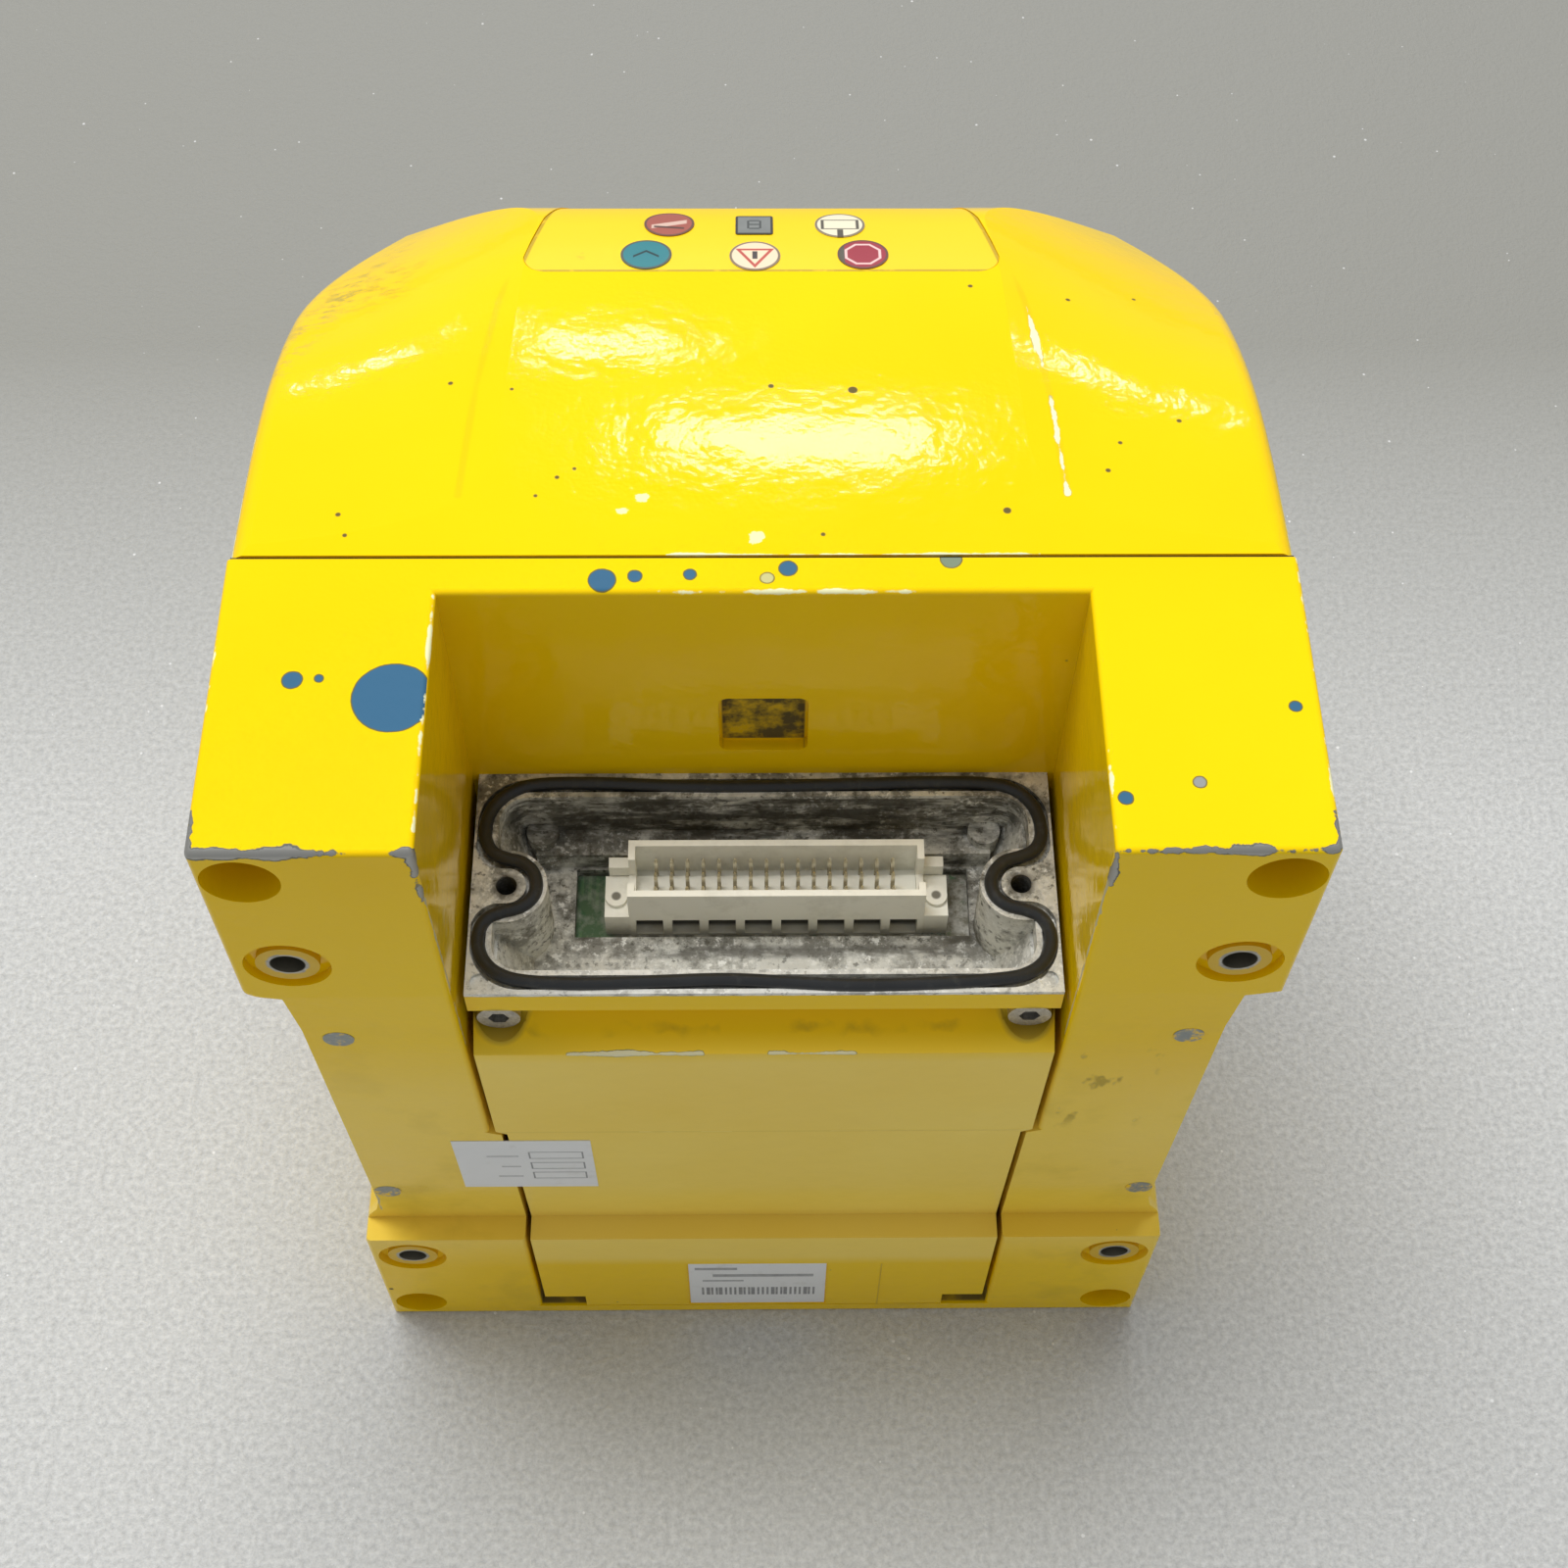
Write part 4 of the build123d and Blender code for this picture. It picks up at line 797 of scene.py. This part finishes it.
placed = geo(grid_tree, "GeometryNodeTransform", Geometry=repeated.outputs[0])
wire(grid_tree, given["Place"], placed.inputs["Translation"])
finish_tree(grid_tree, entry, leave, placed)

pin_low, pin_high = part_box("connector_pins")
pin_middle = (pin_low + pin_high) / 2
pins = grown("contact_pins", grid_tree, {
    "Place": (pin_middle.x, pin_middle.y, pin_low.z),
    "Length": pin_high.z - pin_low.z,
    "Finish": plating.material,
})
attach(pins, "scanner")
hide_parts("connector_pins")

# %% [markdown]
# ## Socket
#
# The socket is moulded in a pale cream plastic that has yellowed a little and caught dust in
# its corners. Painted shade darkens it toward the bottom and on its floor, and paints a dark hole
# in each of its two rivets.

# %% Socket plastic
cream = Finish("socket_cream", IOR=1.5)
dusty = cream.noise(5.0, 4.0, 0.65).ramp(0.50, 0.72)
cream_tone = cream.mix(cream.noise(12.0, 2.0), (0.88, 0.87, 0.76), (0.93, 0.92, 0.84))
cream_tone = cream.mix(dusty * 0.22, cream_tone, (0.36, 0.34, 0.27))
# Painted shade: darker toward the bottom.
bottom_shade = cream.z.ramp(125.0, 120.0) * 0.40
cream_tone = cream.mix(bottom_shade, cream_tone, (0.22, 0.205, 0.16))
shroud_low, _ = measured("connector_shroud")
shroud_wall = 1.6
# Painted shade on the floor deep inside the socket, between the pins.
socket_floor_shade = cream.depth.over(shroud_low.y + shroud_wall, 0.6) * cream.z.under(123.2, 0.4)
cream_tone = cream.mix(socket_floor_shade * 0.85, cream_tone, (0.05, 0.045, 0.035))
rivet_low, rivet_high = measured("connector_rivets")
rivet_depth = (rivet_low.y + rivet_high.y) / 2
rivet_radius = (rivet_high.y - rivet_low.y) / 2
# Painted shade: a dark hole at the centre of each rivet.
for rivet_x in (rivet_low.x + rivet_radius, rivet_high.x - rivet_radius):
    rivet_hole_shade = cream.from_mark(rivet_x, rivet_depth).under(0.75, 0.3)
    cream_tone = cream.mix(rivet_hole_shade * 0.85, cream_tone, (0.09, 0.08, 0.06))
cream.put(Base_Color=cream_tone, Roughness=0.46 + dusty * 0.25)
cream.relief(cream.noise(0.6, 2.0), 0.02)
dress(cream, "connector_shroud", "connector_rivets", "board_link")

# %% [markdown]
# ## Circuit boards
#
# The boards are green solder mask over copper tracks, which show as a faint lighter pattern
# of straight runs. The board under the basin is crusted with pale dust, least at its left end.

# %% Circuit boards
board = Finish("green_board", IOR=1.5)
track_pitch = 1.27
track = abs((board.x / track_pitch).part() - 0.5).under(0.22, 0.06)
track = track * board.noise(6.0, 0.0).ramp(0.5, 0.52)
mask_green = board.mix(track * 0.5, (0.035, 0.13, 0.055), (0.10, 0.26, 0.10))
dust = board.noise(3.0, 4.0, 0.7).ramp(0.45, 0.70)
crust = board.x.ramp(-25.5, -23.5, 0.25, 0.95) * board.z.over(116.0, 0.5)
crust = crust * board.z.under(122.0, 0.5) * board.noise(2.6, 4.0, 0.7).ramp(0.30, 0.42)
dirty_green = board.mix(dust * 0.45, mask_green, (0.30, 0.29, 0.22))
crusted = board.mix(dust, (0.20, 0.19, 0.15), (0.66, 0.65, 0.60))
board.put(Base_Color=board.mix(crust, dirty_green, crusted), Roughness=0.35 + dust * 0.3)
board.relief(track, 0.03)
dress(board, "io_board", "main_board", "detector_board", "display_board")

# %% [markdown]
# ## Metal parts
#
# Screws are small, but the eye finds them quickly. The motor's shaft, cup and core are
# turned, ground or stacked, and each way leaves its own fine lines.
# One helper makes a metal from its two tones, its gloss and its grain.

# %% Metals
def metal_finish(name, dark, light, rough, grain=0.5, stretch=None, relief=0.02, metallic=0.9):
    made = Finish(name, Metallic=metallic)
    lines = made.noise(grain, 3.0, 0.6, stretch)
    stain = made.noise(grain * 8.0, 3.0, 0.6)
    tone = made.mix(lines.ramp(0.3, 0.7), dark, light)
    tone = made.mix(stain.ramp(0.52, 0.75) * 0.5, tone, tuple(v * 0.45 for v in dark))
    made.put(Base_Color=tone, Roughness=rough + stain * 0.2)
    made.relief(lines, relief)
    return made


screw_steel = metal_finish("screw_steel", (0.34, 0.33, 0.31), (0.62, 0.61, 0.58), 0.30, 0.4)
dress(
    screw_steel, "module_screws_upper", "module_screws_lower", "head_screws", "board_screws",
    "motor_screws", "board_standoffs", "detector",
)
shaft_steel = metal_finish(
    "ground_steel", (0.50, 0.50, 0.50), (0.66, 0.66, 0.66), 0.18, 0.3, (1, 1, 12)
)
dress(shaft_steel, "rotor_shaft", "rotor_bearings")
alloy = metal_finish(
    "turned_alloy", (0.52, 0.52, 0.53), (0.72, 0.72, 0.73), 0.28, 0.5, (1, 1, 14)
)
dress(alloy, "motor_base", "rotor_bell", "mirror_hub", "laser_tube")
iron = metal_finish(
    "stacked_iron", (0.10, 0.10, 0.10), (0.26, 0.26, 0.26), 0.45, 0.35, (0.1, 0.1, 9), 0.05
)
dress(iron, "stator_core", "encoder_disc")
magnet = metal_finish(
    "magnet_ring", (0.09, 0.09, 0.10), (0.17, 0.17, 0.18), 0.5, 0.6, None, 0.03, 0.5
)
dress(magnet, "rotor_magnet")

# %% [markdown]
# ## Bushes and plugs
#
# Bushes and plugs were in place when the housing was coated, so each keeps a ring of
# overspray. The thread in each bush is a relief of one turn in each millimetre of depth.

# %% Bushes and plugs with overspray
bush = Finish("bush_steel", Metallic=0.75)
bush_noise = bush.noise(2.2, 3.0, 0.65)
bush_flat = bush.vector("MULTIPLY", {0: bush.place, 1: (1.0, 0.0, 1.0)})
bush_centres = [(side * x, 0.0, z) for x, z in ((69.2, 152.7), (66.65, 32.1)) for side in (-1, 1)]
bush_reach = reduce(Flow.least, [
    bush.vector("DISTANCE", {0: bush_flat, 1: centre}, "Value") for centre in bush_centres
])
rim_paint = (bush_reach + bush_noise * 1.4).over(3.75, 0.3) * bush.depth.under(2.4, 0.1)
bush_tone = bush.mix(bush_noise.ramp(0.35, 0.65), (0.28, 0.27, 0.24), (0.55, 0.54, 0.50))
bush_tone = bush.mix(bush_reach.under(2.62, 0.1), bush_tone, (0.13, 0.12, 0.09))
bush.put(
    Base_Color=bush.mix(rim_paint, bush_tone, (0.70, 0.44, 0.004)),
    Roughness=0.34 + bush_noise * 0.25,
    Metallic=(1 - rim_paint) * 0.8,
)
bush.relief(bush_reach.under(2.56, 0.05) * bush.depth.part(), 0.3, 0.8)
dress(bush, "mount_inserts")

plug = Finish("plug_alloy", Metallic=0.7)
plug_noise = plug.noise(1.6, 3.0, 0.7)
plug_spray = (plug_noise + plug.noise(5.0) * 0.6).over(0.86, 0.15)
plug_tone = plug.mix(plug_noise, (0.16, 0.18, 0.17), (0.46, 0.48, 0.46))
plug.put(
    Base_Color=plug.mix(plug_spray, plug_tone, coat_deep),
    Roughness=0.36 + plug_noise * 0.3,
    Metallic=(1 - plug_spray) * 0.7,
)
plug.relief(plug_noise, 0.15)
dress(plug, "casting_plugs")

# %% [markdown]
# ## Printed film and display
#
# The film on the nose has the colour of the coat and a thin dirty line round its edge.

# %% Film
film = Finish("indicator_film", IOR=1.5)
film_tone = film.mix(film.noise(60.0), coat_deep, coat_bright)
slope = abs(film.x) + (film.depth - 112.0) * 0.2
side_edge = slope.over(38.9, 0.25)
back_edge = film.depth.under(112.75, 0.25)
border = side_edge.most(back_edge) * film.noise(3.0, 3.0).ramp(0.25, 0.42)
film_tone = film.mix(border * 0.65, film_tone, (0.30, 0.19, 0.01))
smear = film.from_point((-29.0, 116.5, 177.5)) + film.noise(2.0, 3.0) * 4.0
film_tone = film.mix(smear.under(2.6, 0.8) * 0.5, film_tone, (0.25, 0.18, 0.02))
film_tone = film.mix(film.specks(9.0, 0.28, 0.30) * 0.85, film_tone, (0.08, 0.07, 0.03))
film.put(Base_Color=film_tone, Roughness=0.32 + film.noise(10.0) * 0.12)
film.relief(film.noise(3.5), 0.03)
dress(film, "indicator_label")

# %% [markdown]
# ### Round fields
#
# The fields are generic signs: plain shapes on plain grounds. Each shape is a sum of
# distances, measured right and forward from the middle of its field.

# %% Round fields
fields = Finish("printed_fields", IOR=1.5)
field_radius, edge_radius = 4.3, 3.95
cream_ground = (0.80, 0.74, 0.55)
ink_brown = (0.10, 0.09, 0.07)
grounds = {
    "sweep": (-15.3, 126.6, (0.36, 0.10, 0.075)),
    "frame": (13.0, 126.2, cream_ground),
    "chevron": (-18.8, 116.9, (0.025, 0.20, 0.23)),
    "wedge": (-1.1, 116.5, (0.84, 0.66, 0.46)),
    "eight corners": (16.5, 116.9, (0.33, 0.035, 0.055)),
}


def about(sign):
    """Distances right, forward and round from the middle of a field."""
    x, depth, _ = grounds[sign]
    side, ahead = fields.x - x, fields.depth - depth
    return side, ahead, (side * side + ahead * ahead) ** 0.5


def stroke(reach, wide):
    """A line where the distance is 0, of this half width."""
    return abs(reach).under(wide, 0.12)


worn_print = fields.noise(2.0, 3.0).ramp(0.4, 0.8) * 0.15
print_tone = fields.mix(worn_print, cream_ground, (0.60, 0.52, 0.36))
edges = []
for sign, (x, depth, ground) in grounds.items():
    reach = about(sign)[2]
    print_tone = fields.mix(reach.under(field_radius, 0.1), print_tone, ground)
    edges.append(stroke(reach - edge_radius, 0.20))

side, ahead, reach = about("chevron")
chevron = stroke(ahead + abs(side) * 0.75 - 0.9, 0.30) * abs(side).under(2.1, 0.1)
print_tone = fields.mix(chevron, print_tone, (0.012, 0.030, 0.036))

side, ahead, reach = about("wedge")
wedge = (ahead - 1.7).most(abs(side) * 0.86 - (ahead + 3.0) * 0.5)
print_tone = fields.mix(stroke(wedge, 0.26) * reach.under(3.7, 0.1), print_tone, (0.50, 0.08, 0.06))
bar = abs(side).under(0.42, 0.1) * abs(ahead - 0.1).under(1.1, 0.1)
print_tone = fields.mix(bar, print_tone, (0.06, 0.05, 0.05))

side, ahead, reach = about("eight corners")
eight = abs(side).most(abs(ahead)).most((abs(side) + abs(ahead)) * math.sqrt(0.5))
print_tone = fields.mix(stroke(eight - 2.75, 0.22), print_tone, (0.80, 0.55, 0.52))

side, ahead, reach = about("frame")
frame_box = (abs(side) / 2.9).most(abs(ahead) / 1.5)
print_tone = fields.mix(stroke((frame_box - 1.0) * 1.8, 0.16), print_tone, ink_brown)
frame_foot = abs(side).under(0.5, 0.1) * (ahead + 2.2).under(0.5, 0.1)
print_tone = fields.mix(frame_foot, print_tone, ink_brown)

side, ahead, reach = about("sweep")
sweep = stroke(ahead * 1.2 - side * 0.35 + 0.3, 0.75) * abs(side).under(2.9, 0.2)
print_tone = fields.mix(sweep, print_tone, (0.66, 0.46, 0.38))
sole = stroke(ahead + side * 0.12 + 1.35, 0.30) * abs(side).under(2.5, 0.2)
print_tone = fields.mix(sole, print_tone, (0.10, 0.05, 0.04))

print_tone = fields.mix(reduce(Flow.most, edges) * 0.85, print_tone, (0.10, 0.07, 0.05))
fields.put(Base_Color=print_tone, Roughness=0.30 + fields.noise(3.0) * 0.12)
fields.relief(fields.noise(2.5), 0.02)
dress(fields, "indicator_lenses")

# %% [markdown]
# ### Display
#
# The display is a grey window with a dark rim. Its one figure is made of three dashes and
# two posts, as a segment display shows it when it is off.

# %% Display window
display = Finish("grey_display", IOR=1.5)
side, ahead = display.x + 1.2, display.depth - 126.2
rim = (abs(side) / 2.7).most(abs(ahead) / 2.8).over(1.0, 0.04)
dash = abs(side).under(0.85, 0.08)
strokes = [abs(ahead - offset).under(0.20, 0.08) * dash for offset in (1.35, 0.0, -1.35)]
strokes.append(abs(abs(side) - 1.0).under(0.18, 0.08) * abs(ahead).under(1.35, 0.08))
grey = display.mix(display.noise(3.0), (0.17, 0.18, 0.175), (0.25, 0.26, 0.25))
grey = display.mix(reduce(Flow.most, strokes) * 0.8, grey, (0.05, 0.055, 0.055))
display.put(
    Base_Color=display.mix(rim, grey, (0.05, 0.05, 0.045)),
    Roughness=0.16 + display.noise(4.0) * 0.1,
)
dress(display, "digit_window")

# %% [markdown]
# ## Stickers
#
# Two pale stickers sit on the back. Both stay without words: the larger has three outlined
# fields, the lower has plain bars and a row of thin lines.

# %% Paper
paper = Finish("sticker_paper", IOR=1.45)
paper_tone = paper.mix(paper.noise(9.0, 3.0), (0.78, 0.79, 0.78), (0.86, 0.86, 0.85))


def box_mask(x0, x1, z0, z1):
    """1 inside an upright rectangle on the rear face."""
    inner = (paper.x - x0).least(x1 - paper.x).least((paper.z - z0).least(z1 - paper.z))
    return inner.over(0.0, 0.05)


ink = []
outline = 0.3
start, end = -41.2, -31.6
for low, high in ((72.6, 76.0), (67.4, 70.8), (62.4, 65.8)):
    inner = box_mask(start + outline, end - outline, low + outline, high - outline)
    ink.append(box_mask(start, end, low, high) - inner)
for low, start in ((73.6, -48.6), (68.4, -46.4), (63.4, -47.4)):
    ink.append(box_mask(start, -43.0, low, low + 0.55) * 0.7)
type_bars = ((23.4, -13.4, -5.2, 1.3), (19.6, -10.0, 9.6, 1.5), (17.0, -12.0, -4.0, 0.8))
for low, start, end, tall in type_bars:
    ink.append(box_mask(start, end, low, low + tall) * 0.8)
stripe = (paper.x * 1.1).part().over(0.52, 0.06).most((paper.x * 0.47).part().over(0.80, 0.05))
ink.append(box_mask(-12.6, 10.0, 9.4, 13.6) * stripe)
fold = paper.noise(1.6, 3.0, 0.6)
worn_ink = reduce(Flow.most, ink) * (fold * 0.5 + 0.5).least(1.0)
paper_tone = paper.mix(worn_ink, paper_tone, (0.12, 0.12, 0.13))
soiled = paper.noise(6.0, 4.0, 0.7).ramp(0.55, 0.78)
paper_tone = paper.mix(soiled * 0.35, paper_tone, (0.40, 0.37, 0.28))
paper.put(Base_Color=paper_tone, Roughness=0.48 + fold * 0.15)
paper.relief(fold, 0.02)
dress(paper, "type_label", "inspection_label")

# %% [markdown]
# ## Window
#
# The window lets infrared light pass and looks nearly black, polished and slightly violet,
# with a soft bloom of wiping and a few upright hairlines.

# %% Window
window = Finish("dark_window", IOR=1.56)
bloom = window.noise(22.0, 3.0).ramp(0.45, 0.75)
hairs = window.noise(0.5, 2.0, 0.5, (1.0, 1.0, 0.08)).ramp(0.66, 0.74)
window.put(
    Base_Color=window.mix(bloom * 0.4, (0.006, 0.004, 0.007), (0.016, 0.012, 0.017)),
    Roughness=0.06 + bloom * 0.06 + hairs * 0.10,
)
window.relief(window.noise(30.0), 0.02)
dress(window, "front_window")

# %% [markdown]
# ## Inside
#
# Behind the window sit the motor, the slanted mirror and the lens. They hardly show, but
# each still gets its own finish. The coils show their wire as a relief of fine turns, with a
# painted highlight on the crown of each turn and painted shade between them.

# %% Inner parts
copper = Finish("enamelled_wire", Metallic=0.8)
turns_per_mm = 1.6
winding = (copper.z * turns_per_mm + copper.noise(4.0) * 0.4).part() - 0.5
# Painted light: the colour is lighter on the crown of each turn and darker between turns.
round_wire = 1 - abs(winding) * 2.0
copper.put(
    Base_Color=copper.mix(round_wire, (0.24, 0.09, 0.03), (0.72, 0.33, 0.13)),
    Roughness=0.3 + winding * 0.1,
)
copper.relief(round_wire, 0.25)
dress(copper, "motor_coils")

coated = Finish("mirror_coat", Metallic=1.0)
film_dust = coated.noise(8.0, 3.0).ramp(0.6, 0.8)
coated.put(
    Base_Color=coated.mix(film_dust * 0.3, (0.90, 0.91, 0.92), (0.6, 0.6, 0.6)),
    Roughness=0.03 + film_dust * 0.1,
)
dress(coated, "mirror_glass")

moulded = Finish("black_moulding", IOR=1.48)
moulded_grain = moulded.noise(0.5, 3.0)
moulded.put(
    Base_Color=moulded.mix(moulded_grain, (0.012, 0.012, 0.012), (0.030, 0.030, 0.030)),
    Roughness=0.42 + moulded_grain * 0.2,
)
moulded.relief(moulded_grain, 0.03)
dress(moulded, "lens_carrier", "encoder_sensor")

optic = Finish("receiver_optic", IOR=1.52, Transmission_Weight=0.85)
optic.put(
    Base_Color=optic.mix(optic.noise(20.0), (0.78, 0.86, 0.88), (0.88, 0.92, 0.92)),
    Roughness=0.03 + optic.noise(9.0) * 0.04,
)
dress(optic, "receiver_lens")

lamps_clear = Finish("lamp_resin", IOR=1.5)
lamps_clear.put(
    Base_Color=lamps_clear.mix(lamps_clear.noise(2.0), (0.62, 0.62, 0.56), (0.78, 0.78, 0.72)),
    Roughness=0.2 + lamps_clear.noise(1.0) * 0.1,
)
dress(lamps_clear, "display_lamps")

# %% [markdown]
# ## Floor
#
# The scanner stands on a pale foam sheet with a fine sparkle, painted as pale glints. It is
# darker beyond the head, a painted shade where the light falls off.

# %% Floor
floor_mesh = bpy.data.meshes.new("floor")
far = 3.0
corners = [(-far, -far, 0), (far, -far, 0), (far, far, 0), (-far, far, 0)]
floor_mesh.from_pydata(corners, [], [(0, 1, 2, 3)])
floor = bpy.data.objects.new("floor", floor_mesh)
bpy.context.scene.collection.objects.link(floor)
foam = Finish("foam_sheet", IOR=1.45)
grain = foam.noise(1.3, 3.0, 0.7)
cells = foam.noise(5.0, 3.0, 0.55)
glint = foam.specks(3.2, 0.26, 0.14)
foam_tone = foam.mix(grain.ramp(0.3, 0.7), (0.44, 0.445, 0.44), (0.64, 0.645, 0.635))
# Painted shade: the floor darkens beyond the head.
foam_tone = foam.mix(foam.depth.ramp(110.0, 260.0) * 0.95, foam_tone, (0.28, 0.277, 0.25))
# Painted glints for the sparkle of the foam.
foam_tone = foam.mix(glint * 0.5, foam_tone, (0.95, 0.95, 0.95))
foam.put(Base_Color=foam_tone, Roughness=0.5 + grain * 0.2)
foam.relief(grain + cells * 0.8, 0.5, 0.7)
floor_mesh.materials.append(foam.material)
print("floor", 2 * far, "m wide")

# %% [markdown]
# ## Light
#
# One large soft lamp, high on the left and slightly ahead, lights the tops and leaves the
# back in half shade. Four small lamps in front show only in reflections: they make the
# broken glare on the head, as the windows of a room would.

# %% Lamps
aim = Vector((0.0, 0.0, 0.18))


def lamp(name, azimuth, height, distance, wide, tall, power, glare):
    """An area lamp that looks at the scanner. Azimuth 0 is straight ahead of the window.

    A glare lamp shows only in reflections, and the others don't show in them.
    """
    data = bpy.data.lights.new(name, "AREA")
    data.shape = "RECTANGLE"
    data.size = wide
    data.size_y = tall
    data.energy = power
    made = bpy.data.objects.new(name, data)
    bpy.context.scene.collection.objects.link(made)
    turn, rise = math.radians(azimuth), math.radians(height)
    offset = Vector((
        math.sin(turn) * math.cos(rise),
        math.cos(turn) * math.cos(rise),
        math.sin(rise),
    )) * distance
    made.visible_glossy = glare
    made.visible_diffuse = not glare
    made.location = aim + offset
    made.rotation_euler = (-offset).to_track_quat("-Z", "Y").to_euler()


lamp("sky_lamp", -30.0, 71.0, 2.0, 1.5, 1.1, 47.0, False)
lamp("glare_middle", 1.5, 41.5, 2.6, 0.36, 0.26, 9.0, True)
lamp("glare_left", -5.0, 30.4, 2.6, 0.20, 0.10, 2.0, True)
lamp("glare_wing_left", -17.2, 15.0, 2.6, 0.05, 0.09, 0.45, True)
lamp("glare_wing_right", 17.2, 24.0, 2.6, 0.05, 0.16, 0.8, True)

world = bpy.data.worlds.new("room")
bpy.context.scene.world = world
world.use_nodes = True
sky = world.node_tree.nodes["Background"]
sky.inputs["Color"].default_value = (0.96, 0.98, 1.0, 1.0)
sky.inputs["Strength"].default_value = 0.40
print(len(bpy.data.lights), "lamps and the light of the room")

# %% [markdown]
# ## Sizes
#
# The box of the CAD model is measured after the import and printed near the start.
